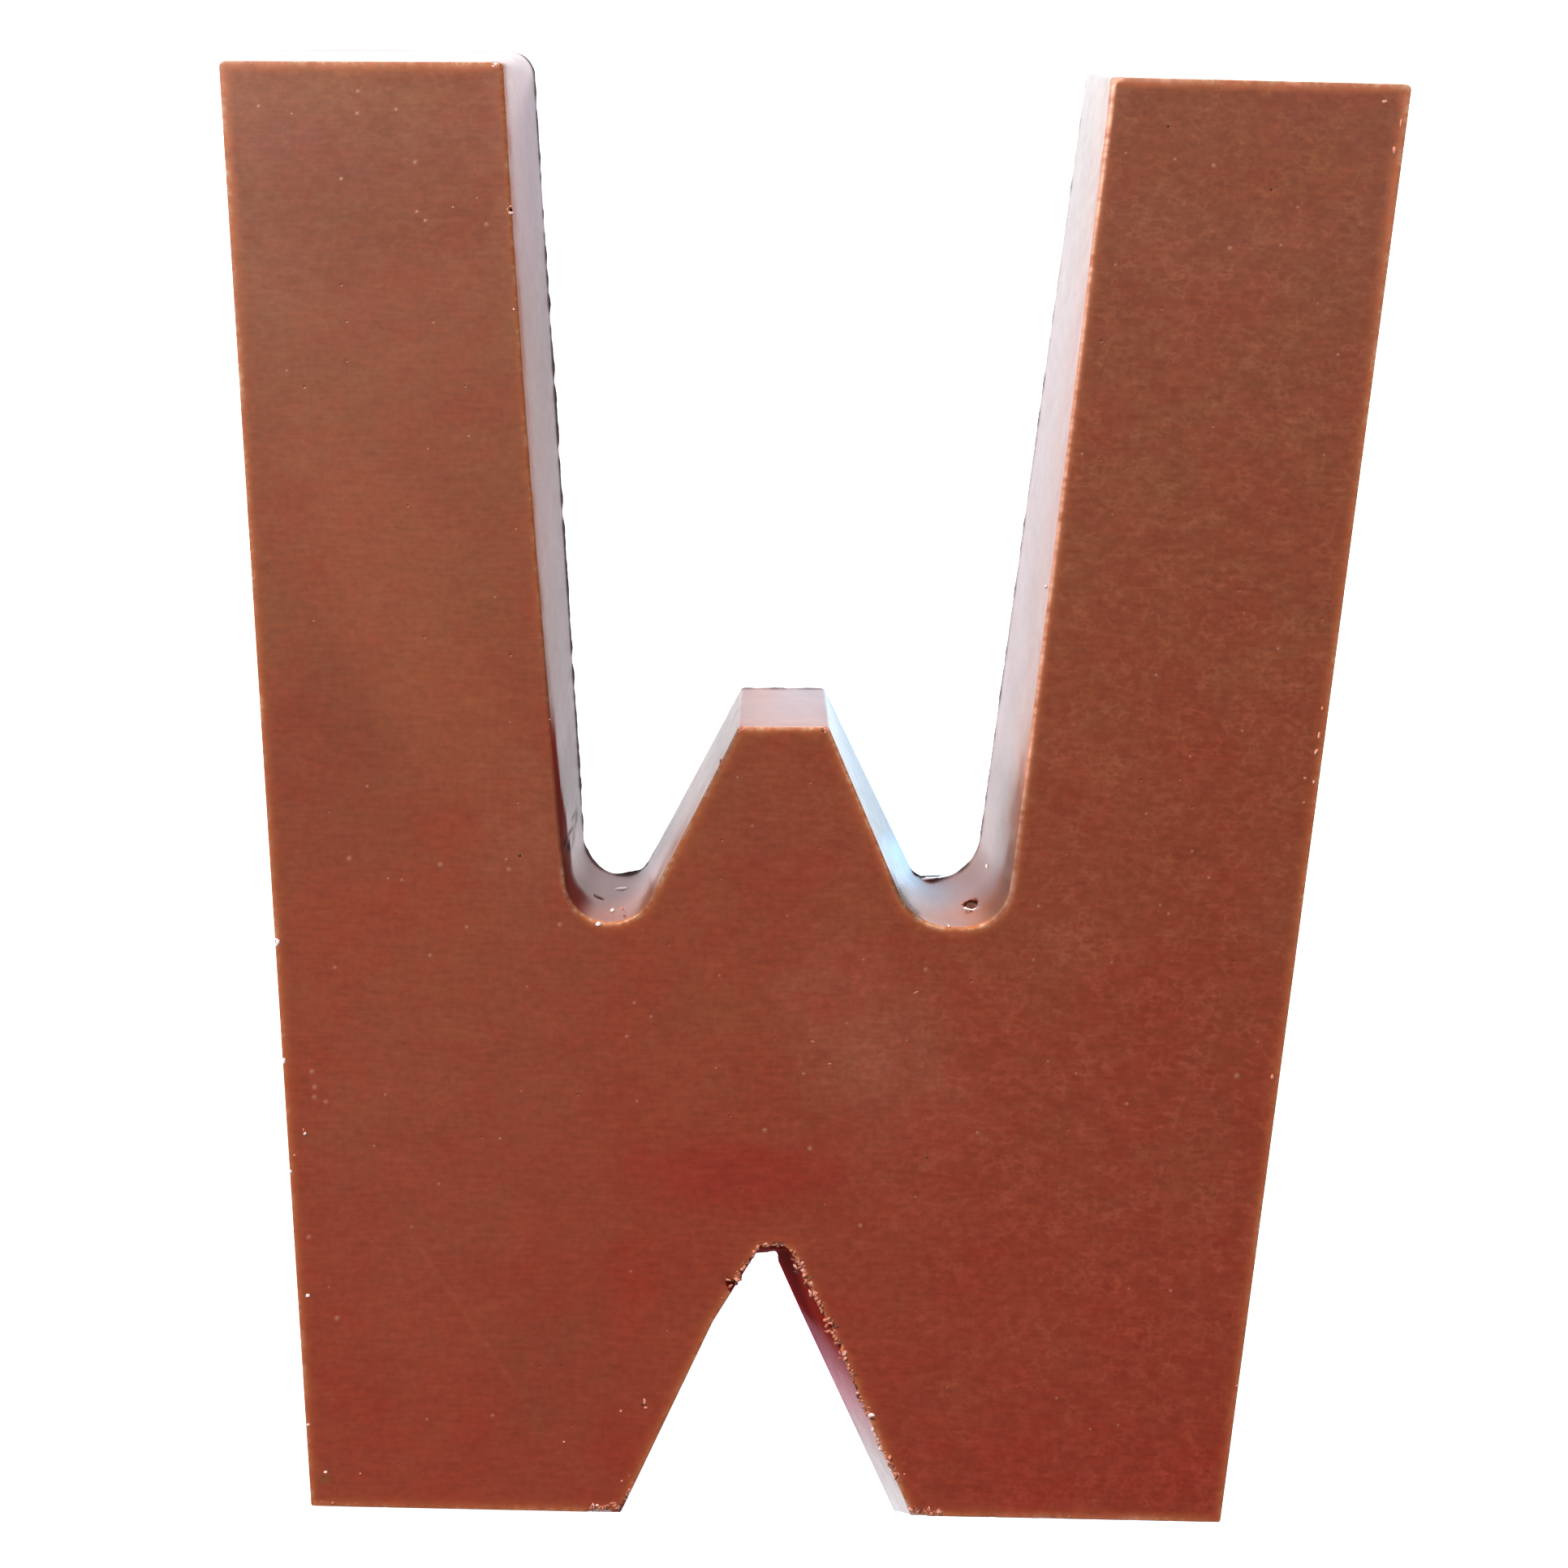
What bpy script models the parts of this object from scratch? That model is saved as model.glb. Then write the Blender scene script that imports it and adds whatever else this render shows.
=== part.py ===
"""A moulded milk-chocolate letter W, lying on its wider back with its smooth face up.

Metres, with +Z up through the face, +Y towards the top of the letter and +X to its right.
The origin is under the middle of the letter's box, on the surface that it lies on.
"""

import math
import random
from typing import NamedTuple

import bmesh
import bpy
from mathutils import Matrix, Vector

MM = 0.001

THICKNESS = 13.5 * MM
FACE_EDGE_ROUND = 0.35 * MM
BACK_EDGE_ROUND = 0.3 * MM

# How far each wall leans out between the face and the back, so that the letter leaves its mould
LEAN_OUTER = 3.0 * MM
LEAN_STEM_TOP = 5.6 * MM
LEAN_STEM_TOP_RIGHT = 5.1 * MM
LEAN_FOOT = 7.0 * MM
LEAN_LEFT_STEM_HIGH = 1.5 * MM
LEAN_LEFT_STEM_LOW = 0.4 * MM
LEAN_RIGHT_STEM_LOW = 2.05 * MM
LEAN_RIGHT_STEM_HIGH = 0.85 * MM
LEAN_BOWL = 2.75 * MM
LEAN_SLOPE = 1.65 * MM
LEAN_SLOPE_AT_PEAK = 1.3 * MM
LEAN_SLOPE_AT_BOWL = 2.4 * MM
LEAN_PEAK = 3.4 * MM
LEAN_NOTCH_AT_FOOT = 3.76 * MM
LEAN_NOTCH_AT_BEND = 4.29 * MM
LEAN_NOTCH_AT_SHOULDER = 3.9 * MM
LEAN_NOTCH_APEX = 5.5 * MM
LEAN_NOTCH_APEX_LEFT = 5.9 * MM
LEAN_NOTCH_LEFT_SHOULDER = 2.9 * MM
LEAN_NOTCH_LEFT_BEND = 2.35 * MM
LEAN_NOTCH_LEFT = 1.7 * MM

# The steps round a crisp corner and round a corner of the bowls between the strokes
CRISP_STEPS = 2
BOWL_STEPS = 8

# How far the face's edge swells out, or in where negative, half way along the inner stem walls
LEFT_STEM_BOW = -0.4 * MM
RIGHT_STEM_BOW = -0.2 * MM
BOW_PIECES = 6

# The chipped stretch of the notch's edge
RAGGED_STEP = 0.8 * MM
RAGGED_DEPTH = 0.55 * MM
RAGGED_HEIGHT = 1.1 * MM
RAGGED_SEED = 11

SMOOTH_BELOW = math.radians(30)
MITRE_LIMIT = 0.5

CHOCOLATE_COLOR = (0.262, 0.066, 0.036, 1.0)
CHOCOLATE_ROUGHNESS = 0.42


class Round(NamedTuple):
    """How a corner is rounded: its radius on the face and on the back, and its steps."""

    face: float
    back: float
    steps: int


class Corner(NamedTuple):
    """A corner of the face, and the wall that runs clockwise from it."""

    x: float
    y: float
    rounding: Round
    lean_start: float
    lean_end: float
    ragged: bool = False
    bow: float = 0.0


CRISP = Round(0.6 * MM, 0.9 * MM, CRISP_STEPS)
SHARP = Round(0.3 * MM, 0.4 * MM, CRISP_STEPS)
WORN = Round(0.5 * MM, 3.0 * MM, 2 * CRISP_STEPS)
NOTCH_BEND = Round(1.6 * MM, 1.6 * MM, CRISP_STEPS)
BOWL_AT_STEM = Round(4.6 * MM, 4.4 * MM, BOWL_STEPS)
BOWL_AT_STEM_RIGHT = Round(4.7 * MM, 5.4 * MM, BOWL_STEPS)
BOWL_AT_SLOPE_LEFT = Round(4.7 * MM, 3.2 * MM, BOWL_STEPS)
BOWL_AT_SLOPE_RIGHT = Round(6.0 * MM, 2.6 * MM, BOWL_STEPS)

# Clockwise from the outer top of the left stem
CORNERS = [
    Corner(-60.2 * MM, 73.2 * MM, CRISP, LEAN_STEM_TOP, LEAN_STEM_TOP),
    Corner(-30.9 * MM, 73.8 * MM, WORN, LEAN_LEFT_STEM_HIGH, LEAN_LEFT_STEM_LOW, bow=LEFT_STEM_BOW),
    Corner(-21.9 * MM, -14.9 * MM, BOWL_AT_STEM, LEAN_BOWL, LEAN_BOWL),
    Corner(-14.7 * MM, -14.7 * MM, BOWL_AT_SLOPE_LEFT, LEAN_SLOPE, LEAN_SLOPE),
    Corner(-4.8 * MM, 5.7 * MM, SHARP, LEAN_PEAK, LEAN_PEAK),
    Corner(4.5 * MM, 5.9 * MM, SHARP, LEAN_SLOPE_AT_PEAK, LEAN_SLOPE_AT_BOWL),
    Corner(13.7 * MM, -14.5 * MM, BOWL_AT_SLOPE_RIGHT, LEAN_BOWL, LEAN_BOWL),
    Corner(23.2 * MM, -14.3 * MM, BOWL_AT_STEM_RIGHT, LEAN_RIGHT_STEM_LOW, LEAN_RIGHT_STEM_HIGH,
           bow=RIGHT_STEM_BOW),
    Corner(32.1 * MM, 73.8 * MM, CRISP, LEAN_STEM_TOP_RIGHT, LEAN_STEM_TOP_RIGHT),
    Corner(63.1 * MM, 73.8 * MM, CRISP, LEAN_OUTER, LEAN_OUTER),
    Corner(46.9 * MM, -75.1 * MM, SHARP, LEAN_FOOT, LEAN_FOOT),
    Corner(15.0 * MM, -75.2 * MM, SHARP, LEAN_NOTCH_AT_FOOT, LEAN_NOTCH_AT_BEND),
    Corner(7.2 * MM, -58.3 * MM, NOTCH_BEND, LEAN_NOTCH_AT_BEND, LEAN_NOTCH_AT_SHOULDER, True),
    Corner(1.8 * MM, -48.0 * MM, SHARP, LEAN_NOTCH_APEX, LEAN_NOTCH_APEX_LEFT, True),
    Corner(-1.35 * MM, -47.9 * MM, SHARP, LEAN_NOTCH_LEFT_SHOULDER, LEAN_NOTCH_LEFT_BEND, True),
    Corner(-6.0 * MM, -55.7 * MM, NOTCH_BEND, LEAN_NOTCH_LEFT, LEAN_NOTCH_LEFT),
    Corner(-15.0 * MM, -75.6 * MM, SHARP, LEAN_FOOT, LEAN_FOOT),
    Corner(-47.0 * MM, -75.7 * MM, SHARP, LEAN_OUTER, LEAN_OUTER),
]
CORNER_COUNT = len(CORNERS)

# Small hollows, each a place in millimetres, in the frame of the corners, and a radius
BUBBLES_IN_BOWLS = [((20.3, -12.7, 8.4), 0.95), ((-19.2, -13.1, 7.9), 0.35)]
CHIPS_IN_STEM_EDGE = [((-29.4, 58.6, 13.4), 0.35), ((-28.8, 48.0, 13.4), 0.40)]
CHIPS_IN_PEAK_CORNERS = [((-4.7, 5.7, 13.4), 0.45), ((4.2, 5.8, 13.4), 0.40)]
CHIPS_IN_NOTCH_EDGE = [((-4.9, -51.9, 13.2), 0.75), ((10.6, -64.9, 13.4), 0.40)]
CHIPS_IN_BACK_EDGE = [((-18.4, -12.0, 0.2), 0.60), ((17.6, -11.6, 0.2), 0.70)]
HOLLOWS = (
    BUBBLES_IN_BOWLS + CHIPS_IN_STEM_EDGE + CHIPS_IN_PEAK_CORNERS + CHIPS_IN_NOTCH_EDGE + CHIPS_IN_BACK_EDGE
)


def clear_scene():
    for thing in list(bpy.data.objects):
        bpy.data.objects.remove(thing, do_unlink=True)


def after(index):
    return (index + 1) % CORNER_COUNT


def outward(start, end):
    """The side that lies outside the letter, on a wall that runs clockwise round it."""
    along = (end - start).normalized()
    return Vector((-along.y, along.x))


def crossing(point_a, along_a, point_b, along_b):
    """Where two straight lines cross."""
    reach = (point_b - point_a).cross(along_b) / along_a.cross(along_b)
    return point_a + along_a * reach


def face_corners():
    return [Vector((corner.x, corner.y)) for corner in CORNERS]


def back_corners():
    """The face's corners moved out to the back, each wall by its own lean."""
    face = face_corners()
    lines = []
    for index, corner in enumerate(CORNERS):
        start = face[index]
        end = face[after(index)]
        side = outward(start, end)
        first = start + side * corner.lean_start
        last = end + side * corner.lean_end
        lines.append((first, last - first))
    return [crossing(*lines[index - 1], *lines[index]) for index in range(CORNER_COUNT)]


def rounded_corner(before, corner, following, radius, steps):
    """Points on an arc of the given radius that cuts a corner."""
    incoming = (corner - before).normalized()
    outgoing = (following - corner).normalized()
    turn = math.atan2(incoming.cross(outgoing), incoming.dot(outgoing))
    start = corner - incoming * radius * math.tan(abs(turn) / 2)
    middle = start + Vector((-incoming.y, incoming.x)) * math.copysign(radius, turn)
    return [middle + Matrix.Rotation(turn * step / steps, 2) @ (start - middle) for step in range(steps + 1)]


def wall_pieces(index):
    """How many pieces a wall is cut into: one, several where it bows, or many where it is chipped."""
    if CORNERS[index].bow:
        return BOW_PIECES
    if not CORNERS[index].ragged:
        return 1
    face = face_corners()
    return round((face[after(index)] - face[index]).length / RAGGED_STEP)


def corner_arcs(corners, radii):
    arcs = []
    for index, corner in enumerate(CORNERS):
        before = corners[index - 1]
        following = corners[after(index)]
        arcs.append(rounded_corner(before, corners[index], following, radii[index], corner.rounding.steps))
    return arcs


def outline(corners, radii, bowed=False, chip_depth=0.0):
    """The closed outline through rounded corners, its walls bowed and chipped where that is asked for."""
    draw = random.Random(RAGGED_SEED)
    arcs = corner_arcs(corners, radii)
    points = []
    for index, corner in enumerate(CORNERS):
        points.extend(arcs[index])
        start = arcs[index][-1]
        end = arcs[after(index)][0]
        side = outward(start, end)
        swell = 4 * corner.bow if bowed else 0.0
        chips = chip_depth if corner.ragged else 0.0
        pieces = wall_pieces(index)
        for piece in range(1, pieces):
            share = piece / pieces
            shift = swell * share * (1 - share) - draw.uniform(0.0, chips)
            points.append(start.lerp(end, share) + side * shift)
    return points


def inset(points, distance):
    """The outline moved inwards by a distance that is small beside its corners."""
    moved = []
    for index, point in enumerate(points):
        following = points[(index + 1) % len(points)]
        side_after = outward(point, following)
        side = (outward(points[index - 1], point) + side_after).normalized()
        moved.append(point - side * distance / max(side.dot(side_after), MITRE_LIMIT))
    return moved


def middle_of(points):
    """The middle of the outline's box."""
    low = Vector((min(point.x for point in points), min(point.y for point in points)))
    high = Vector((max(point.x for point in points), max(point.y for point in points)))
    return (low + high) / 2


def letter_levels():
    """The outlines from the back up to the face, each with its height, and the back's middle."""
    back_line = outline(back_corners(), [corner.rounding.back for corner in CORNERS])
    face_radii = [corner.rounding.face for corner in CORNERS]
    whole_line = outline(face_corners(), face_radii, bowed=True)
    chipped_line = outline(face_corners(), face_radii, bowed=True, chip_depth=RAGGED_DEPTH)

    def part_way(height, upper):
        return [low.lerp(high, height / THICKNESS) for low, high in zip(back_line, upper)]

    below_chips = THICKNESS - RAGGED_HEIGHT
    below_edge = THICKNESS - FACE_EDGE_ROUND
    half_turn_in = FACE_EDGE_ROUND * (1 - math.cos(math.pi / 4))
    levels = [
        (inset(back_line, BACK_EDGE_ROUND), 0.0),
        (back_line, BACK_EDGE_ROUND),
        (part_way(below_chips, whole_line), below_chips),
        (part_way(below_edge, chipped_line), below_edge),
        (inset(chipped_line, half_turn_in), THICKNESS - half_turn_in),
        (inset(chipped_line, FACE_EDGE_ROUND), THICKNESS),
    ]
    return levels, middle_of(back_line)


def letter_mesh(levels, middle):
    """One closed mesh through the levels, with its box's middle over the origin."""
    mesh = bpy.data.meshes.new("chocolate_letter")
    work = bmesh.new()
    rings = []
    for points, height in levels:
        rings.append([work.verts.new((point - middle).to_3d() + Vector((0, 0, height))) for point in points])
    count = len(rings[0])
    for lower, upper in zip(rings, rings[1:]):
        for index in range(count):
            following = (index + 1) % count
            work.faces.new((lower[index], upper[index], upper[following], lower[following]))
    work.faces.new(rings[0])
    work.faces.new(list(reversed(rings[-1])))
    bmesh.ops.recalc_face_normals(work, faces=work.faces)
    work.to_mesh(mesh)
    work.free()
    return mesh


def hollow_cutters(middle):
    """A hidden collection of small balls, one for each bubble or chip."""
    cutters = bpy.data.collections.new("hollows")
    bpy.context.scene.collection.children.link(cutters)
    for number, (place, radius) in enumerate(HOLLOWS):
        mesh = bpy.data.meshes.new(f"hollow_{number}")
        work = bmesh.new()
        bmesh.ops.create_icosphere(work, subdivisions=2, radius=radius * MM)
        work.to_mesh(mesh)
        work.free()
        ball = bpy.data.objects.new(f"hollow_{number}", mesh)
        ball.location = Vector(place) * MM - middle.to_3d()
        ball.hide_render = True
        ball.display_type = "WIRE"
        cutters.objects.link(ball)
    return cutters


def chocolate():
    material = bpy.data.materials.new("milk_chocolate")
    material.use_nodes = True
    shader = material.node_tree.nodes["Principled BSDF"]
    shader.inputs["Base Color"].default_value = CHOCOLATE_COLOR
    shader.inputs["Roughness"].default_value = CHOCOLATE_ROUGHNESS
    shader.inputs["Metallic"].default_value = 0.0
    return material


def build():
    clear_scene()
    levels, middle = letter_levels()
    mesh = letter_mesh(levels, middle)
    mesh.materials.append(chocolate())
    mesh.shade_smooth()
    mesh.set_sharp_from_angle(angle=SMOOTH_BELOW)
    letter = bpy.data.objects.new("chocolate_letter", mesh)
    bpy.context.scene.collection.objects.link(letter)
    carve = letter.modifiers.new("hollows", "BOOLEAN")
    carve.operation = "DIFFERENCE"
    carve.operand_type = "COLLECTION"
    carve.collection = hollow_cutters(middle)


build()
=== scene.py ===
"""A moulded milk-chocolate letter W that lies on a bright pale table, seen from straight above."""

import math
from typing import NamedTuple

import bmesh
import bpy
import numpy as np
from mathutils import Matrix, Vector, kdtree, noise
from mathutils.geometry import delaunay_2d_cdt


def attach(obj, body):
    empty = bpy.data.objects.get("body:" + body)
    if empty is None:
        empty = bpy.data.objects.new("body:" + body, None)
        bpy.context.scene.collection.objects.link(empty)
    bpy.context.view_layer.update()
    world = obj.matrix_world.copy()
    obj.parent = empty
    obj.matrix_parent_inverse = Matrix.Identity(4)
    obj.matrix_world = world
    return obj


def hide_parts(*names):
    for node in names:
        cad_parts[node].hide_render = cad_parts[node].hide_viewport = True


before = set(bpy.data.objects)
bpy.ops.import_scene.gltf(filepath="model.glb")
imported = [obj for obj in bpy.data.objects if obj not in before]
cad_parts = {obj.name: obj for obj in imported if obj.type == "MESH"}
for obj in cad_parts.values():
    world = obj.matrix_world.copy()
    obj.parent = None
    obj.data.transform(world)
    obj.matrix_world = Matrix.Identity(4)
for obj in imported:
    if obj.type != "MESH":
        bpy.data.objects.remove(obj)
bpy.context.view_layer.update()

MM = 0.001

# How thick the letter is, and how its edges are rounded
THICKNESS = 13.5 * MM
EDGE_ROUND_INNER = 0.3 * MM
EDGE_ROUND_OUTER = 0.14 * MM
EDGE_ROUND_TOP = 0.18 * MM
BACK_EDGE_ROUND = 0.3 * MM


class Round(NamedTuple):
    """How a corner is rounded: its radius on the face and on the back, and its steps."""

    face: float
    back: float
    steps: int


class Corner(NamedTuple):
    """A corner of the face, and the wall that runs clockwise from it."""

    x: float
    y: float
    rounding: Round
    lean_start: float
    lean_end: float
    chip: float = 0.08 * MM
    step: float = 0.4 * MM
    bow: float = 0.0


CRISP = Round(0.6 * MM, 0.9 * MM, 5)
SHARP = Round(0.3 * MM, 0.4 * MM, 4)
PEAK = Round(0.5 * MM, 0.5 * MM, 5)
WORN = Round(0.5 * MM, 3.0 * MM, 8)
NOTCH_APEX = Round(0.5 * MM, 0.3 * MM, 5)
NOTCH_BEND = Round(1.6 * MM, 1.6 * MM, 5)
BOWL_AT_STEM = Round(4.6 * MM, 4.4 * MM, 28)
BOWL_AT_STEM_RIGHT = Round(4.7 * MM, 5.4 * MM, 28)
BOWL_AT_SLOPE_LEFT = Round(4.7 * MM, 3.1 * MM, 24)
BOWL_AT_SLOPE_RIGHT = Round(6.0 * MM, 2.6 * MM, 24)


def corner_at(x, y, rounding, lean_start, lean_end, **wall):
    """A corner whose sizes are given in millimetres."""
    wall = {name: value * MM for name, value in wall.items()}
    return Corner(x * MM, y * MM, rounding, lean_start * MM, lean_end * MM, **wall)


# In millimetres: the chips along an edge with the steps that it is drawn in, and how far walls lean out
CHIPPED = {"chip": 0.16, "step": 0.25}
BROKEN = {"chip": 0.9, "step": 0.11}
LEAN_OUTER = 3.0
LEAN_BOWL = 2.75
LEAN_FOOT = 7.0

# Clockwise from the outer top of the left stem
CORNERS = [
    corner_at(-60.2, 73.2, CRISP, 5.6, 5.6),
    corner_at(-30.9, 73.8, WORN, 1.5, 0.4, **CHIPPED, bow=-0.4),
    corner_at(-21.9, -14.9, BOWL_AT_STEM, LEAN_BOWL, LEAN_BOWL),
    corner_at(-14.7, -14.7, BOWL_AT_SLOPE_LEFT, 2.0, 1.65),
    corner_at(-4.8, 5.7, PEAK, 3.4, 3.4, step=0.25),
    corner_at(4.5, 5.9, PEAK, 1.3, 2.4),
    corner_at(13.7, -14.5, BOWL_AT_SLOPE_RIGHT, LEAN_BOWL, LEAN_BOWL),
    corner_at(23.2, -14.3, BOWL_AT_STEM_RIGHT, 2.05, 0.85, **CHIPPED, bow=-0.2),
    corner_at(32.1, 73.8, CRISP, 5.1, 5.1),
    corner_at(63.1, 73.8, CRISP, LEAN_OUTER, LEAN_OUTER),
    corner_at(46.9, -75.1, SHARP, LEAN_FOOT, LEAN_FOOT, **CHIPPED),
    corner_at(15.0, -75.2, SHARP, 3.76, 4.29, chip=0.26, step=0.16),
    corner_at(7.2, -58.3, NOTCH_BEND, 4.29, 3.9, **BROKEN),
    corner_at(1.8, -48.0, NOTCH_APEX, 5.5, 5.9, **BROKEN),
    corner_at(-1.35, -47.9, NOTCH_APEX, 2.9, 2.35, chip=0.26, step=0.11),
    corner_at(-6.0, -55.7, NOTCH_BEND, 1.7, 1.7, **CHIPPED),
    corner_at(-15.0, -75.6, SHARP, LEAN_FOOT, LEAN_FOOT, **CHIPPED),
    corner_at(-47.0, -75.7, SHARP, LEAN_OUTER, LEAN_OUTER),
]


class Nick(NamedTuple):
    """A larger chip in an edge, in millimetres in the frame of the corners."""

    x: float
    y: float
    reach: float
    depth: float
    # How far the chip is painted dark red, as painted shade in its recess, and how far pale, as a painted
    # highlight
    dull: float = 0.0
    pale: float = 0.0


NICKS = [Nick(*row) for row in (
    (32.4, 73.5, 1.2, 0.6, 0, 0.4), (-31.6, 73.7, 0.5, 0.45), (-29.6, 58.3, 0.6, 0.3, 0.3, 0.4),
    (-28.9, 48.2, 0.7, 0.35), (-4.7, 5.7, 0.7, 0.4, 0, 0.1), (4.4, 5.8, 0.6, 0.35, 0, 0.1),
    (-3.87, -52, 0.7, 1.15, 1), (-2.75, -50, 1.6, 0.42, 0.75), (17.4, -14.4, 0.3, 0.25),
    (50.9, 73.8, 1.2, 0.22), (-17, -75.6, 1.7, 0.42, 0, 0.5), (-15, -75.3, 1, 0.36, 0.8),
    (14.9, -75.2, 2.2, 0.4, 0, 0.3), (12.9, -70.7, 1.3, 0.35), (-14.2, -73.9, 0.9, 0.3, 0, 0.3),
    (17.2, -13.9, 0.4, 0.3),
)]

# The one chip in the edge of the back
BACK_NICK = Nick(0.4, -53.8, 0.6, 0.6)

# The bubbles in the surface: the middle and the three half widths of each, in millimetres
BOWL_BUBBLE = (20.25, -12.98, 8.45)
HOLLOWS = [
    (BOWL_BUBBLE, (0.9, 0.55, 1.15)),
    ((-19.25, -13.1, 7.9), (0.75, 0.45, 0.26)),
    ((-29.64, 58.62, 13.45), (0.13, 0.16, 0.45)),
    ((-6.7, 2.15, 12.9), (0.2, 0.3, 0.3)),
]
# The bubbles' inside is painted darker, as painted shade, and warm brown with its reflection painted out
HOLLOW_LOOK = {"wall": 1.0, "shade": 0.45, "warm": 0.6}
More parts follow.
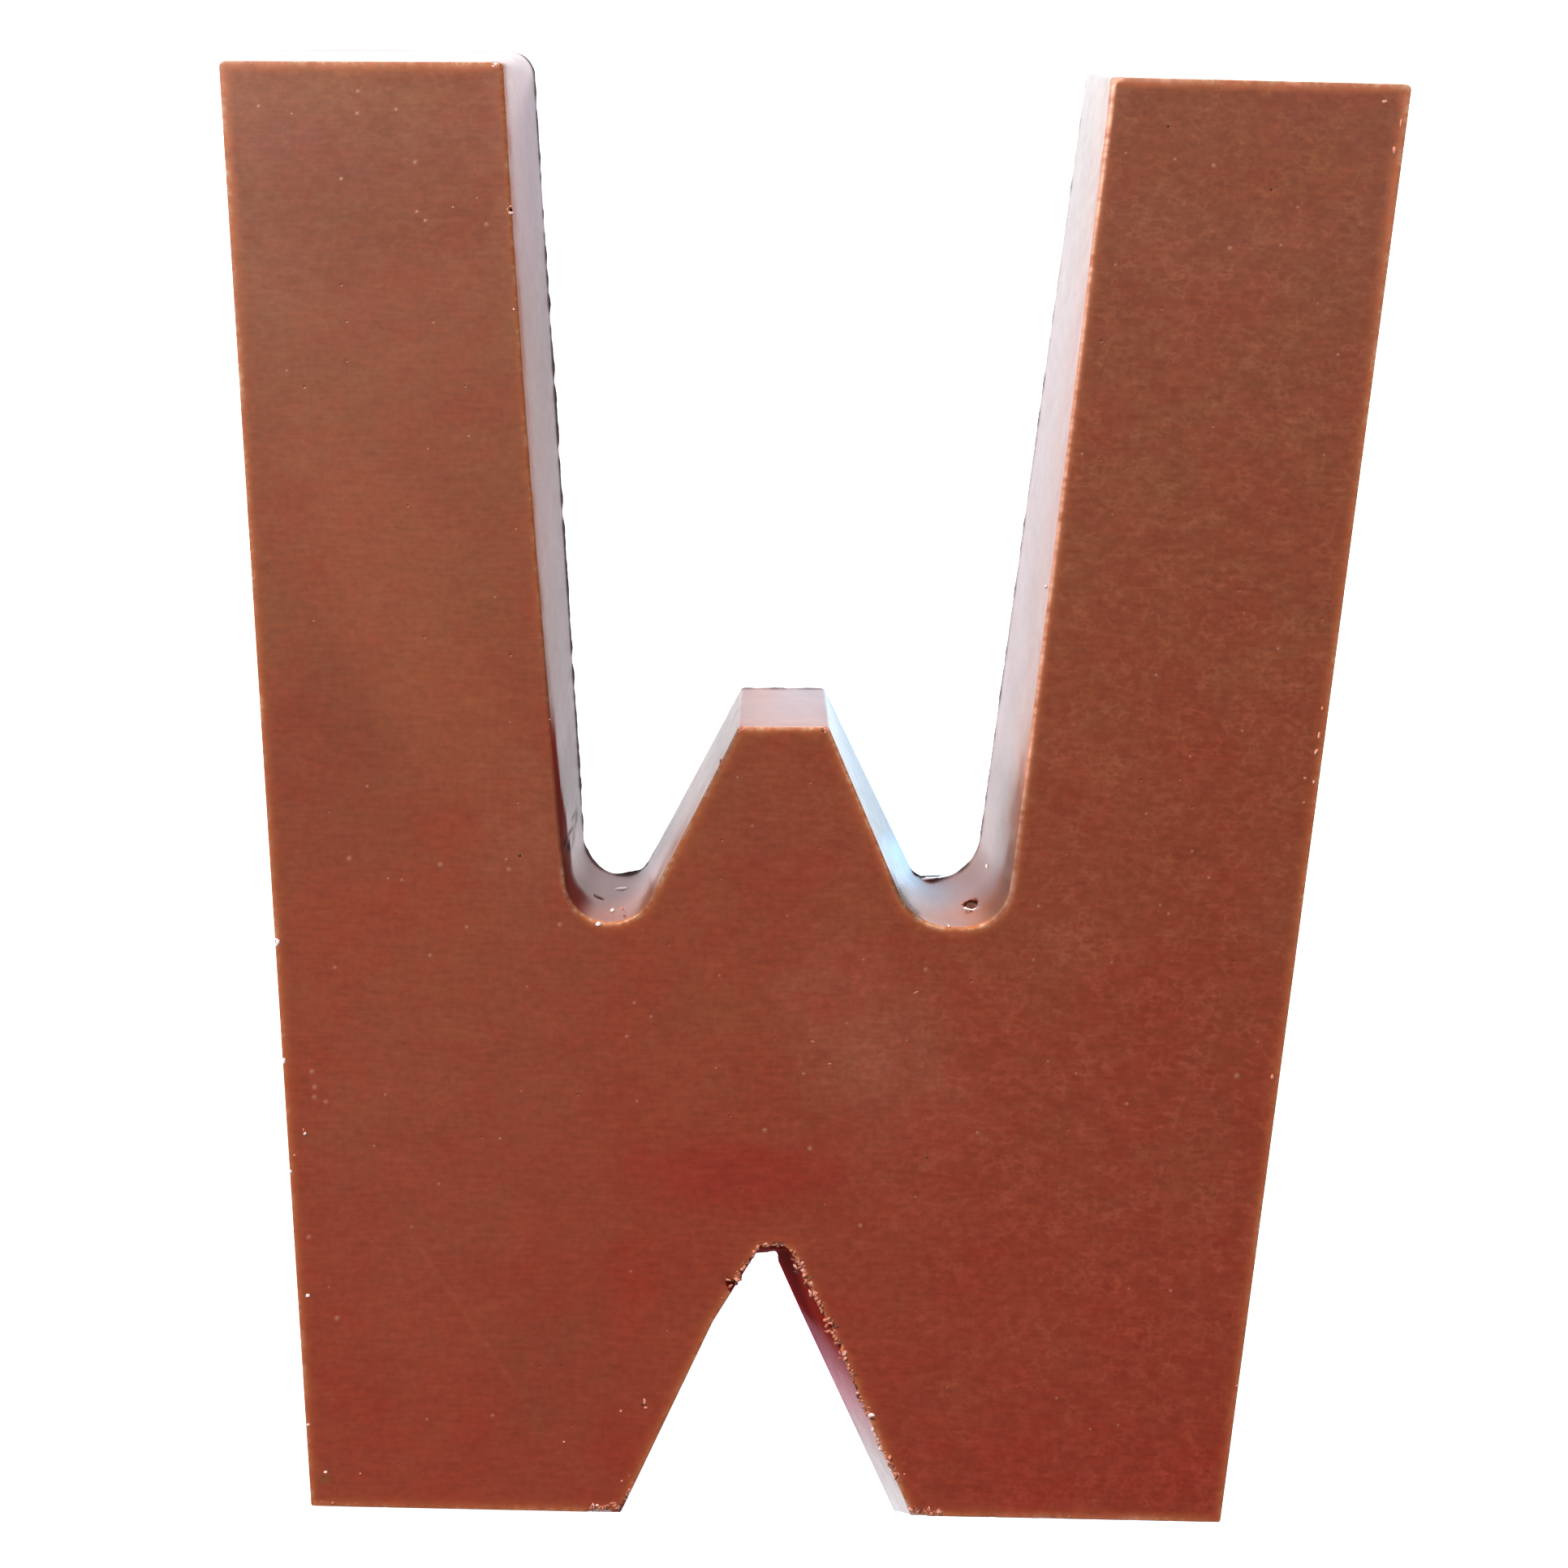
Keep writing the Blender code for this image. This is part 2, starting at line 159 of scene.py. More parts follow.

# Crumbs and flakes: x, y and z of the middle, the three half widths, all in millimetres, turn and paleness;
# the palest are painted highlights
BEADS = [
    # On the walls and at the foot of the bowls; the dark flat ones at the right bowl's foot are a painted
    # contact shadow
    (-17.5, -12.92, 4.2, 0.88, 0.2, 0.4, 8, 1), (-17.68, -14.1, 10.3, 0.24, 0.2, 0.26, 0, 1),
    (-18.85, -14.95, 13.4, 0.28, 0.26, 0.22, 0, 1), (-16.6, -13.75, 11.2, 0.14, 0.14, 0.3, 0, 0.5),
    (22.25, -9.45, 4.6, 0.12, 0.24, 0.6, 0, 1), (17.38, -14.3, 13.1, 0.1, 0.12, 0.7, 0, 0.8),
    (19.35, -13, 7.6, 0.12, 0.14, 0.3, 0, 0.3), (16.3, -11.62, 0.5, 1.15, 0.16, 0.3, 10, 1),
    (16.3, -11.4, 0.12, 1.8, 0.09, 0.12, 4, 0), (14.75, -11.05, 0.3, 0.6, 0.12, 0.3, -35, 0),
    # On the left stem's inner edge and on the peak
    (-29.6, 58.24, 13.44, 0.32, 0.17, 0.12, -14, 0.7), (-29.66, 58.94, 13.45, 0.22, 0.1, 0.1, 10, 0.62),
    (-29.98, 58.6, 13.46, 0.09, 0.26, 0.09, 0, 0.62), (-7.3, 0.2, 13.3, 0.16, 0.2, 0.14, 0, 0.62),
    (-6.62, 2.3, 13.2, 0.2, 0.07, 0.12, 60, 0.3), (-4.62, 5.25, 13.4, 0.08, 0.2, 0.08, 0, 0.25),
    (-4.15, 5.12, 13.42, 0.2, 0.07, 0.07, 0, 0.25), (-29.1, 48.3, 13.4, 0.16, 0.16, 0.14, 0, 0.7),
    (-31.55, 73.6, 13.35, 0.22, 0.22, 0.2, 0, 1),
    # Along the notch's right edge, down to the foot
    (10.59, -64.92, 13.45, 0.42, 0.22, 0.14, -4, 0.95), (10.8, -65.32, 13.45, 0.36, 0.13, 0.08, -4, 0),
    (10.79, -66.46, 13.4, 0.17, 0.26, 0.14, 15, 0.8), (11.07, -67.09, 13.4, 0.15, 0.2, 0.14, 15, 0.7),
    (11.65, -68.37, 13.4, 0.17, 0.24, 0.14, 0, 0.85), (12.17, -69.19, 13.4, 0.11, 0.42, 0.1, 24, 0.6),
    (13.07, -70.55, 13.4, 0.16, 0.2, 0.12, 20, 0.45), (13.22, -70.93, 13.4, 0.24, 0.16, 0.12, 0, 0.5),
    (13.46, -71.2, 13.45, 0.14, 0.13, 0.08, 0, 0), (14.2, -70.95, 13.47, 0.12, 0.12, 0.06, 0, 0.45),
    (14.97, -74.62, 13.35, 0.38, 0.18, 0.14, -12, 0.65), (15.99, -74.72, 13.4, 0.13, 0.3, 0.1, 0, 0.1),
    (16.5, -74.87, 13.4, 0.22, 0.18, 0.12, 0, 0.6),
    # By the notch's left edge
    (-4.55, -51.35, 13.4, 0.4, 0.15, 0.1, -8, 0.5), (-4.8, -52.2, 13.4, 0.16, 0.28, 0.08, 20, 0.4),
    (-12.84, -64.1, 13.46, 0.14, 0.34, 0.08, 10, 0.65), (-12.7, -64.75, 13.46, 0.2, 0.12, 0.08, 0, 0.6),
    (-13.1, -64.45, 13.46, 0.1, 0.16, 0.06, 0, 0.1), (-15.25, -65.17, 13.46, 0.15, 0.15, 0.06, 0, 0.55),
    (-21.04, -68.5, 13.47, 0.13, 0.12, 0.05, 0, 0.6),
    # On the peak's corners
    (-4.35, 5.3, 13.38, 0.3, 0.14, 0.12, 0, 0.2), (-4.05, 5.55, 13.38, 0.16, 0.16, 0.12, 0, 0.45),
    (4.05, 5.62, 13.38, 0.2, 0.14, 0.12, 0, 0.2),
    # On the outer edges of the stems
    (-51.84, -17.62, 13.48, 0.22, 0.34, 0.12, 0, 1.1), (-52.02, -17.32, 13.46, 0.22, 0.13, 0.12, 20, 1.1),
    (-52.02, -17.92, 13.46, 0.2, 0.12, 0.12, -20, 1), (55.38, 9.15, 13.46, 0.14, 0.26, 0.1, 0, 0.45),
    (55.12, 6.38, 13.46, 0.16, 0.44, 0.1, -8, 0.62), (54.84, 4.64, 13.47, 0.2, 0.36, 0.1, -30, 0.62),
    (54.7, 1.54, 13.46, 0.14, 0.24, 0.1, 0, 0.6), (53.8, 1.9, 13.46, 0.2, 0.2, 0.06, 0, 0.3),
    (53.72, -0.62, 13.46, 0.2, 0.18, 0.06, 0, 0.3), (61.42, 66.97, 13.47, 0.2, 0.42, 0.1, 4, 0.6),
    (62, 69.8, 13.46, 0.1, 0.5, 0.08, -6, 0.6), (60.31, 71.97, 13.46, 0.3, 0.2, 0.07, 0, 0.6),
    # On the left foot
    (-17.49, -74.95, 13.4, 0.26, 0.2, 0.12, 0, 0.85), (-15.86, -74.66, 13.42, 0.55, 0.2, 0.1, 4, 0.4),
    (-15.1, -74.8, 13.42, 0.26, 0.18, 0.1, 0, 0.1), (-14.98, -72.37, 13.42, 0.16, 0.18, 0.1, 0, 0.6),
    (-14.22, -71.77, 13.4, 0.14, 0.16, 0.1, 0, 0.6), (-43.17, -75.42, 13.4, 0.2, 0.14, 0.1, 0, 0.6),
    (-45.6, -72.2, 13.48, 0.2, 0.14, 0.06, 0, 0.9), (-41.99, -72.28, 13.48, 0.14, 0.12, 0.05, 0, 0.6),
    # On the face
    (14.18, -21.2, 13.46, 0.36, 0.12, 0.03, 30, 0.3), (3.67, -26.57, 13.46, 0.28, 0.12, 0.03, -20, 0.3),
    (5.48, -28.79, 13.46, 0.3, 0.12, 0.03, 10, 0.3), (37.97, 68.91, 13.47, 0.14, 0.14, 0.05, 0, 0.05),
    (48.76, 62.64, 13.47, 0.14, 0.13, 0.05, 0, 0.05), (-27.13, -8.04, 13.47, 0.15, 0.14, 0.05, 0, 0.05),
    (15.69, -38.18, 13.47, 0.14, 0.14, 0.05, 0, 0.05), (26.56, 21.02, 13.46, 0.2, 0.18, 0.06, 0, 0.75),
    # On the outer edges, further down
    (-50.9, -29.87, 13.47, 0.2, 0.32, 0.12, 0, 1), (-48.58, -37.32, 13.47, 0.16, 0.16, 0.08, 0, 0.9),
    (-48.72, -36.95, 13.46, 0.07, 0.22, 0.06, 20, 0.5), (-49.61, -39.57, 13.46, 0.2, 0.12, 0.07, 0, 0.55),
    (-49.93, -41.26, 13.47, 0.14, 0.18, 0.1, 0, 1), (-47.86, -54.02, 13.47, 0.24, 0.2, 0.08, 0, 1),
    (-47.5, -67.35, 13.47, 0.22, 0.18, 0.1, 0, 0.75), (51.15, -29.01, 13.47, 0.2, 0.28, 0.09, 0, 0.55),
]

# The painted highlight along the edge of the bubble in the right bowl, and the wall's slopes there
CRESCENT_WIDE = 1.02
CRESCENT_HIGH = 1.28
CRESCENT_ANGLES = range(-25, 136, 16)
CRESCENT_AWAY = 0.13
CRESCENT_BEAD = (0.2, 0.1, 0.17, 0, 1.0)
WALL_PER_HEIGHT = -0.3
WALL_PER_WIDTH = 0.3


def crescent():
    """Small pale beads along the lower right edge of the bubble, as a painted highlight."""
    x, y, z = BOWL_BUBBLE
    for angle in CRESCENT_ANGLES:
        across = CRESCENT_WIDE * math.cos(math.radians(angle))
        up = CRESCENT_HIGH * math.sin(math.radians(angle))
        away = WALL_PER_HEIGHT * up + WALL_PER_WIDTH * max(across, 0.0) + CRESCENT_AWAY
        yield (x + across, y + away, z + up, *CRESCENT_BEAD)


BEADS.extend(crescent())

# Crumbs thrown along a line: x and y of its start and of its end, their number, spread, size and paleness
SCATTERS = [
    (-17.2, -75.2, -15.1, -74.9, 18, 0.15, 0.18, 0.44), (-18.4, -75.2, -16.9, -75.3, 8, 0.1, 0.16, 0.5),
    (-14.9, -74.6, -13.7, -72.4, 12, 0.12, 0.12, 0.42), (11.3, -67.4, 12.8, -70.4, 18, 0.14, 0.12, 0.6),
    (12.9, -70.3, 13.7, -71.5, 16, 0.25, 0.14, 0.4), (15.2, -74.6, 18.2, -74.8, 26, 0.16, 0.16, 0.44),
    (2.4, -48.9, 7, -57.5, 60, 0.2, 0.19, 0.44), (7.2, -58.4, 10.4, -65, 30, 0.14, 0.14, 0.44),
    (-46.6, -75.3, -42.2, -75.45, 14, 0.1, 0.11, 0.45), (-4.8, 5.4, -4.2, 5.6, 6, 0.15, 0.14, 0.4),
    (3.9, 5.6, 4.4, 5.5, 6, 0.15, 0.14, 0.4), (-31, 73.4, -32.4, 73.5, 6, 0.1, 0.1, 0.6),
    (-5, -53.3, -2, -48.6, 26, 0.14, 0.14, 0.5),
]

# Soft patches in the face's colour: x and y of the middle, the two half widths, turn and tint
BLOTCHES = [
    (10.2, -26.9, 14, 7.2, -47.4, (1.08, 1.36, 1.58)), (-4.5, -40.7, 13.4, 4.2, 1.4, (1.01, 0.7, 0.78)),
    (-39.5, 16.3, 27, 6.3, -62.5, (1.08, 1.13, 1.13)), (-47.7, 9.4, 13, 4, -60, (0.93, 0.93, 0.93)),
    (-32.7, -54, 17.8, 0.35, -54.2, (1.05, 1.12, 1.12)), (-45.5, 70.5, 17, 4.5, 0, (0.96, 0.93, 0.7)),
    (-41.9, 46.4, 14, 10, 0, (1.03, 0.97, 0.97)), (31, -70, 17, 6, 0, (1.02, 0.92, 0.95)),
    (-38, -40, 12, 20, 0, (0.97, 1.11, 1.18)), (-45.6, -72.9, 0.9, 0.6, 0, (0.8, 1.25, 0.9)),
    (48, 67.5, 20, 8, 0, (0.97, 0.9, 0.66)), (-45, 60, 18, 9, 0, (0.89, 0.74, 0.58)),
    (10.5, -39.5, 5, 4, 0, (0.98, 1.1, 1.14)), (-24, -25, 8, 24, 0, (0.98, 1.06, 1.12)),
    (52.5, -12, 6, 10, 0, (1, 1.08, 1.12)), (41, -40, 10, 14, 0, (1, 1.09, 1.12)),
    (-47, 0, 11, 11, 0, (0.92, 0.89, 0.94)), (-22, -61, 8, 9, 0, (0.93, 1.1, 1.1)),
    (28, -13, 6, 9, 0, (1, 1.1, 1.14)), (-28, -5, 5, 10, 0, (1, 1.12, 1.2)),
    (0, -7, 7, 6, 0, (1, 0.89, 0.96)),
]

# Small specks in the face that show most, in millimetres in the frame of the corners
SPECKS = [
    (-46.6, 72.1), (-45.7, 70.4), (-41.7, 68.6), (-45.7, 68.1), (-55.9, 68.6), (-39.6, 63.2),
    (-47.2, 61.3), (-39.3, 58.1), (-38.4, 57.2), (-32.1, 57.0), (42.8, 64.9), (44.7, 56.4),
    (3.6, -37.6), (-1.1, -35.8), (9.0, -45.4), (15.1, -18.8), (-22.8, -15.1), (-36.1, -18.6),
    (-45.9, -20.1), (-44.7, -8.8), (-35.3, -9.2), (-28.2, -9.5), (-32.4, -15.6), (47.5, -29.0),
    (-48.0, -30.9), (-47.7, -32.5), (-47.7, -33.5), (-46.5, -34.0), (-47.9, -48.0), (-44.8, -56.3),
]

# The photograph: its side, its middle and the point below the camera in pixels, the face's scale and turn
PHOTO_SIDE = 1932
PHOTO_SCALE = 0.0838 * MM
PHOTO_TURN = math.radians(1.4)
PHOTO_MIDDLE = Vector((966, 966))
PHOTO_BELOW_CAMERA = Vector((966, 734))

# The letter's thickness as a share of the camera's height, and the width of the camera's sensor
CONVERGENCE = 0.0735
SENSOR = 36.0

SEED = 7


def outward(start, end):
    """The side that lies outside the letter, on a wall that runs clockwise round it."""
    along = (end - start).normalized()
    return Vector((-along.y, along.x))


def crossing(point_a, along_a, point_b, along_b):
    """Where two straight lines cross."""
    reach = (point_b - point_a).cross(along_b) / along_a.cross(along_b)
    return point_a + along_a * reach


def closed(values):
    """A list with its first item once more at its end."""
    return [*values, values[0]]


def face_corners():
    return [Vector((corner.x, corner.y)) for corner in CORNERS]


def back_corners():
    """The face's corners moved out to the back, each wall by its own lean."""
    face = closed(face_corners())
    lines = []
    for corner, start, end in zip(CORNERS, face, face[1:]):
        side = outward(start, end)
        first = start + side * corner.lean_start
        last = end + side * corner.lean_end
        lines.append((first, last - first))
    return [crossing(*lines[index - 1], *line) for index, line in enumerate(lines)]


def rounded_corner(before, corner, following, radius, steps):
    """Points on an arc of the given radius that cuts a corner."""
    incoming = (corner - before).normalized()
    outgoing = (following - corner).normalized()
    turn = math.atan2(incoming.cross(outgoing), incoming.dot(outgoing))
    start = corner - incoming * radius * math.tan(abs(turn) / 2)
    middle = start + Vector((-incoming.y, incoming.x)) * math.copysign(radius, turn)
    return [middle + Matrix.Rotation(turn * step / steps, 2) @ (start - middle) for step in range(steps + 1)]


def outline(corners, radii, bowed=False):
    """The closed outline, with many points along every wall, and each point's chip depth."""
    face = closed(face_corners())
    around = closed(corners)
    arcs = []
    for index, corner in enumerate(CORNERS):
        steps = corner.rounding.steps
        arcs.append(rounded_corner(corners[index - 1], *around[index:index + 2], radii[index], steps))
    arcs = closed(arcs)
    points = []
    chips = []
    for index, corner in enumerate(CORNERS):
        arc = arcs[index]
        points.extend(arc)
        before = CORNERS[index - 1].chip
        chips.extend(before + (corner.chip - before) * step / (len(arc) - 1) for step in range(len(arc)))
        start = arc[-1]
        end = arcs[index + 1][0]
        pieces = round((face[index + 1] - face[index]).length / corner.step)
        side = outward(start, end)
        swell = 4 * corner.bow if bowed else 0.0
        shares = [piece / pieces for piece in range(1, pieces)]
        points.extend(start.lerp(end, share) + side * swell * share * (1 - share) for share in shares)
        chips.extend([corner.chip] * (pieces - 1))
    return np.array(points), np.array(chips)


def sides_of(points):
    """The outward side at each point of a closed outline, as unit vectors."""
    along = np.roll(points, -1, axis=0) - np.roll(points, 1, axis=0)
    along /= np.linalg.norm(along, axis=1)[:, None]
    return np.stack([-along[:, 1], along[:, 0]], axis=1)


def middle_of(points):
    return (points.min(axis=0) + points.max(axis=0)) / 2


def on_face(pixel):
    """The place on the plane of the face, in the frame of the corners, that a photo pixel shows."""
    offset = (Vector(pixel) - PHOTO_MIDDLE) * PHOTO_SCALE
    return Matrix.Rotation(PHOTO_TURN, 2) @ Vector((offset.x, -offset.y))


BACK_LINE, _ = outline(back_corners(), [corner.rounding.back for corner in CORNERS])
FACE_LINE, CHIP_LIMIT = outline(face_corners(), [corner.rounding.face for corner in CORNERS], bowed=True)
MIDDLE = middle_of(BACK_LINE)
BACK_LINE -= MIDDLE
FACE_LINE -= MIDDLE
FACE_SIDES = sides_of(FACE_LINE)
BACK_SIDES = sides_of(BACK_LINE)
COUNT = len(FACE_LINE)


def centred(x, y):
    """A place given in millimetres in the frame of the corners."""
    return np.array((x, y)) * MM - MIDDLE


def ramp(values, start, end):
    """A smooth rise from 0 at start to 1 at end."""
    share = np.clip((values - start) / (end - start), 0, 1)
    return share * share * (3 - 2 * share)


def ripple(line, height, size, *pattern):
    """Smooth noise from about -1 to 1 at each point of a line, with features of a size in millimetres."""
    places = with_height(line, height)
    return np.array([noise.noise(Vector(place) / (size * MM) + Vector(pattern)) for place in places])


def with_height(line, height):
    return np.column_stack([line, np.broadcast_to(height, len(line))])


# Chips along the edges of the face and of the back


def near_nick(line, nick):
    """How far each point of a line is from a nick, as a share of the nick's reach."""
    return np.linalg.norm(line - centred(nick.x, nick.y), axis=1) / (nick.reach * MM)


def chip_cut():
    """How deep the face's edge is cut back at each point of the outline."""
    coarse = ripple(FACE_LINE, 0, 1.3, 3, 1, 5)
    fine = ripple(FACE_LINE, 0, 0.45, 9, 4, 2)
    grain = ripple(FACE_LINE, 0, 0.2, 1, 8, 6)
    cut = CHIP_LIMIT * np.clip(0.3 + 0.75 * coarse + 0.45 * fine + 0.2 * grain, 0, 1)
    for nick in NICKS:
        away = near_nick(FACE_LINE, nick)
        depth = nick.depth * MM * (1 + 0.35 * fine + 0.2 * grain)
        cut = np.maximum(cut, depth * np.clip(1 - away * away, 0, 1))
    return cut


CUT = chip_cut()
BACK_CUT = BACK_NICK.depth * MM * np.clip(1.4 - near_nick(BACK_LINE, BACK_NICK), 0, 1)
LEAN = np.linalg.norm(BACK_LINE - FACE_LINE, axis=1)
# At each point of the outline: the painted red shade of the nicks there, and their pale painted highlight
NICK_RED_SHADE = np.max([(near_nick(FACE_LINE, nick) < 1) * nick.dull for nick in NICKS], axis=0)
NICK_PALE = np.max([(near_nick(FACE_LINE, nick) < 1) * nick.pale for nick in NICKS], axis=0)


def cut_profile(inward, down, cut):
    """Points near the edge moved onto the sloping floor of a chip."""
    short = np.clip(cut - (inward + down), 0, None)
    return inward + short / 2, down + short / 2, short


# The parts of the outline, where x and y are in millimetres in the frame of the corners

LINE_X, LINE_Y = ((FACE_LINE + MIDDLE) / MM).T
FACES_RIGHT = ramp(FACE_SIDES[:, 0], 0.3, 0.8)
FACES_LEFT = ramp(FACE_SIDES[:, 0], -0.3, -0.8)
FACES_UP = ramp(FACE_SIDES[:, 1], 0.3, 0.8)
LEFT_GAP = (LINE_X > -32) & (LINE_X < -4.9) & (LINE_Y > -18)
RIGHT_GAP = (np.abs(LINE_X - 18) < 16) & (LINE_Y > -18) & (LINE_Y < 73)
LEFT_WALL = LEFT_GAP * FACES_RIGHT
LEFT_SLOPE = LEFT_GAP * FACES_LEFT
RIGHT_WALL = RIGHT_GAP * FACES_LEFT
IN_NOTCH = (np.abs(LINE_X - 1) < 14.1) & (LINE_Y < -40) & (LINE_Y > -75.15)
INNER_EDGE = (np.abs(LINE_X) < 34) & (LINE_Y > -18) & (LINE_Y < 73.2)
OUTER_EDGE = ~(INNER_EDGE | IN_NOTCH)
HIGH_OUTSIDE = OUTER_EDGE * ((np.abs(LINE_X) > 45) | (LINE_Y > 72)) * ramp(LINE_Y, 20, 65)


def softened(values, reach):
    """Values along the closed outline, each averaged with its neighbours."""
    return np.mean([np.roll(values, shift) for shift in range(-reach, reach + 1)], axis=0)


EDGE_ROUND = EDGE_ROUND_OUTER + (EDGE_ROUND_INNER - EDGE_ROUND_OUTER) * softened(INNER_EDGE.astype(float), 3)
EDGE_ROUND = EDGE_ROUND + EDGE_ROUND_TOP * RIGHT_WALL * ramp(LINE_Y, 56, 70)

# How worn, dull, warm and dark the chocolate is, where z, places and sizes are in millimetres


def painted_edge_highlight():
    """How strongly the face's edge is painted pale, from 0 to 1, at each point of the outline: a painted
    highlight along the rounded edge, set part by part.
    """
    bowls = INNER_EDGE * ramp(LINE_Y, -5, -10) * 0.65
    right_stem = RIGHT_WALL * (0.55 + 0.35 * ramp(LINE_Y, 55, 70))
    left_stem = LEFT_WALL * (0.1 + 0.1 * ramp(LINE_Y, 6, 14))
    peak = INNER_EDGE * (np.abs(LINE_X) < 4.6) * 0.6
    slopes = INNER_EDGE * (LINE_Y < 5.5) * (LINE_Y > -12) * (np.abs(LINE_X) < 14) * 0.5
    notch = IN_NOTCH * 0.25
    tops = (LINE_Y > 72) * 0.45
    patchy = ramp(ripple(FACE_LINE, 0, 6.0, 4, 7, 3), 0.02, 0.3)
    other = OUTER_EDGE * (0.2 + 0.45 * patchy + 0.3 * HIGH_OUTSIDE)
    wear = np.maximum.reduce([bowls, right_stem, left_stem, peak, slopes, notch, tops, other])
    coarse = ripple(FACE_LINE, 0, 1.6, 5, 9, 1)
    fine = ripple(FACE_LINE, 0, 0.5, 7, 2, 6)
    return np.clip(softened(wear, 2) * (0.95 + 0.8 * coarse + 1.1 * fine), 0, 1)


# The painted highlight along the face's edge, at each point of the outline
EDGE_HIGHLIGHT = painted_edge_highlight()
# How strongly the painted orange glow of light through the thin edge shows along the rim, weaker on the left
# stem's inner edge
RIM_GLOW_SHARE = 1 - LEFT_WALL * (0.5 + 0.35 * ramp(LINE_Y, 14, 8))


def painted_red_shade_at(height):
    """How far the wall is painted dark red with its shine cut, from 0 to 1, at a height for each point of
    the outline: painted shade under the left stem's rim and deep in the notch.
    """
    z = height / MM
    shake = 1.2 * ripple(FACE_LINE, height, 2.4, 2, 7, 3)
    starts = 11.2 - 2.5 * ramp(LINE_Y, 1, -9)
    under_rim = ramp(z + 0.4 * shake - starts, 0, 0.9)
    left_strip = LEFT_WALL * ramp(LINE_Y, 9, 2) * under_rim
    left_strip = left_strip * (1 - 0.18 * ramp(LINE_Y, -1, -8))
    up_notch = 0.2 + 0.8 * np.clip((LINE_Y + shake + 75.0) / 18.5, 0, 1) ** 1.5
    notch_right = IN_NOTCH * (FACE_SIDES[:, 0] < 0.5) * up_notch
    notch_left = IN_NOTCH * FACES_RIGHT * ramp(LINE_Y, -53.5, -52)
    return np.clip(np.maximum.reduce([left_strip, notch_right, notch_left]), 0, 0.975)


def warmth(height):
    """How far the wall's reflection of the table is painted out, from 0 to 1, for a warm brown with little
    shine: a painted dimming towards the rim, in the bowls and in the notch.
    """
    z = height / MM
    shake = 1 + 0.25 * ripple(FACE_LINE, height, 2.8, 1, 6, 4)
    general = np.full(COUNT, 0.35 * ramp(z, 8, 13.5))
    left_wall = LEFT_WALL * (0.1 + 0.28 * ramp(z, 3, 10) + 0.6 * ramp(z, 10, 13))
    by_bowl = ramp(LINE_Y, 14, -4)
    right_wall = RIGHT_WALL * (0.5 * ramp(z, 5, 12.5) + 0.55 * by_bowl * ramp(z, 6, 11.5))
    down_slope = ramp(LINE_Y, 0, -9)
    left_slope = LEFT_SLOPE * (0.45 * ramp(z, 4, 12) + 0.52 * down_slope * ramp(z, 5, 11))
    right_bowl = RIGHT_GAP * ramp(LINE_Y, -6, -11) * 0.72 * ramp(z, 3.5, 12)
    right_bowl = right_bowl + RIGHT_GAP * ramp(LINE_X, 18.5, 21.5) * ramp(LINE_Y, -4, -9) * 0.25
    left_bowl = LEFT_GAP * ramp(LINE_Y, -7, -12) * 0.65 * ramp(z, 5, 12.5)
    right_rim = RIGHT_WALL * ramp(LINE_Y, 2, -8) * ramp(z, 7.5, 11)
    notch = IN_NOTCH * (0.1 + 0.45 * ramp(z, 5, 12.5))
    walls = [general, left_wall, right_wall, left_slope, right_bowl, right_rim, left_bowl, notch]
    return np.clip(np.maximum.reduce(walls) * shake, 0, 1)


# Dark strokes on the left stem's wall: the start and end of each, as distance along the letter and height
DARK_STROKES = [
    ((-6.95, 4.0), (-8.96, 7.5)),
    ((-7.2, 11.5), (-7.5, 3.2)),
    ((-6.5, 5.2), (-6.95, 4.0)),
    ((-7.9, 9.5), (-8.6, 9.0)),
]
STROKE_HALF_WIDTH = 0.32
HEIGHT_AS_SEEN = 0.155


def from_stroke(along, height, start, end):
    """How far places on a wall are from a stroke, with heights shortened as they are seen."""
    start = np.array(start) * (1, HEIGHT_AS_SEEN)
    end = np.array(end) * (1, HEIGHT_AS_SEEN)
    places = np.column_stack([along, np.full(len(along), height * HEIGHT_AS_SEEN)])
    way = end - start
    share = np.clip((places - start) @ way / (way @ way), 0, 1)
    return np.linalg.norm(places - start - share[:, None] * way, axis=1)


def darkness(height):
    """How dark the wall is painted, from 0 to 1: dark strokes on the left stem's wall, and painted shade
    where little light reaches it.
    """
    z = height / MM
    shake = 1 + 0.8 * ripple(FACE_LINE, height, 0.9, 6, 2, 8)
    away = np.minimum.reduce([from_stroke(LINE_Y, z, *dark_stroke) for dark_stroke in DARK_STROKES])
    dark_strokes = LEFT_WALL * ramp(away, STROKE_HALF_WIDTH * 1.6, STROKE_HALF_WIDTH * 0.4) * 0.72 * shake
    haze = LEFT_WALL * ramp(away, 1.6, 0.2) * 0.46
    left_wall = LEFT_WALL * (0.02 + 0.17 * ramp(LINE_Y, 24, 10) + 0.2 * ramp(LINE_Y, 4, -2))
    by_bowl = ramp(LINE_Y, -1, -8) * ramp(LINE_Y, -14, -10.5)
    strip = LEFT_WALL * by_bowl * ramp(z, 8.8, 10.5) * 0.16
    left_slope = LEFT_SLOPE * ramp(LINE_Y, -14, -9) * (0.58 - 0.2 * ramp(LINE_Y, 2, -4))
    left_bowl = LEFT_SLOPE * ramp(LINE_Y, -5, -9) * ramp(z, 6, 12) * 0.42
    in_bowl = 0.16 * ramp(LINE_Y, -4, -8) * ramp(z, 9, 12)
    right_bowl = RIGHT_WALL * ramp(LINE_Y, 3, -2) * (0.16 + 0.18 * ramp(z, 5, 9) + in_bowl)
    under_rim = ramp(LINE_X, 10, 11) * ramp(LINE_X, 15, 14) * ramp(LINE_Y, -8, -10)
    right_patch = RIGHT_GAP * under_rim * ramp(z, 10.6, 12.2) * 0.55
    places = [dark_strokes, haze, left_wall, strip, left_slope, left_bowl, right_bowl, right_patch]
    return np.clip(np.maximum.reduce(places), 0, 1)


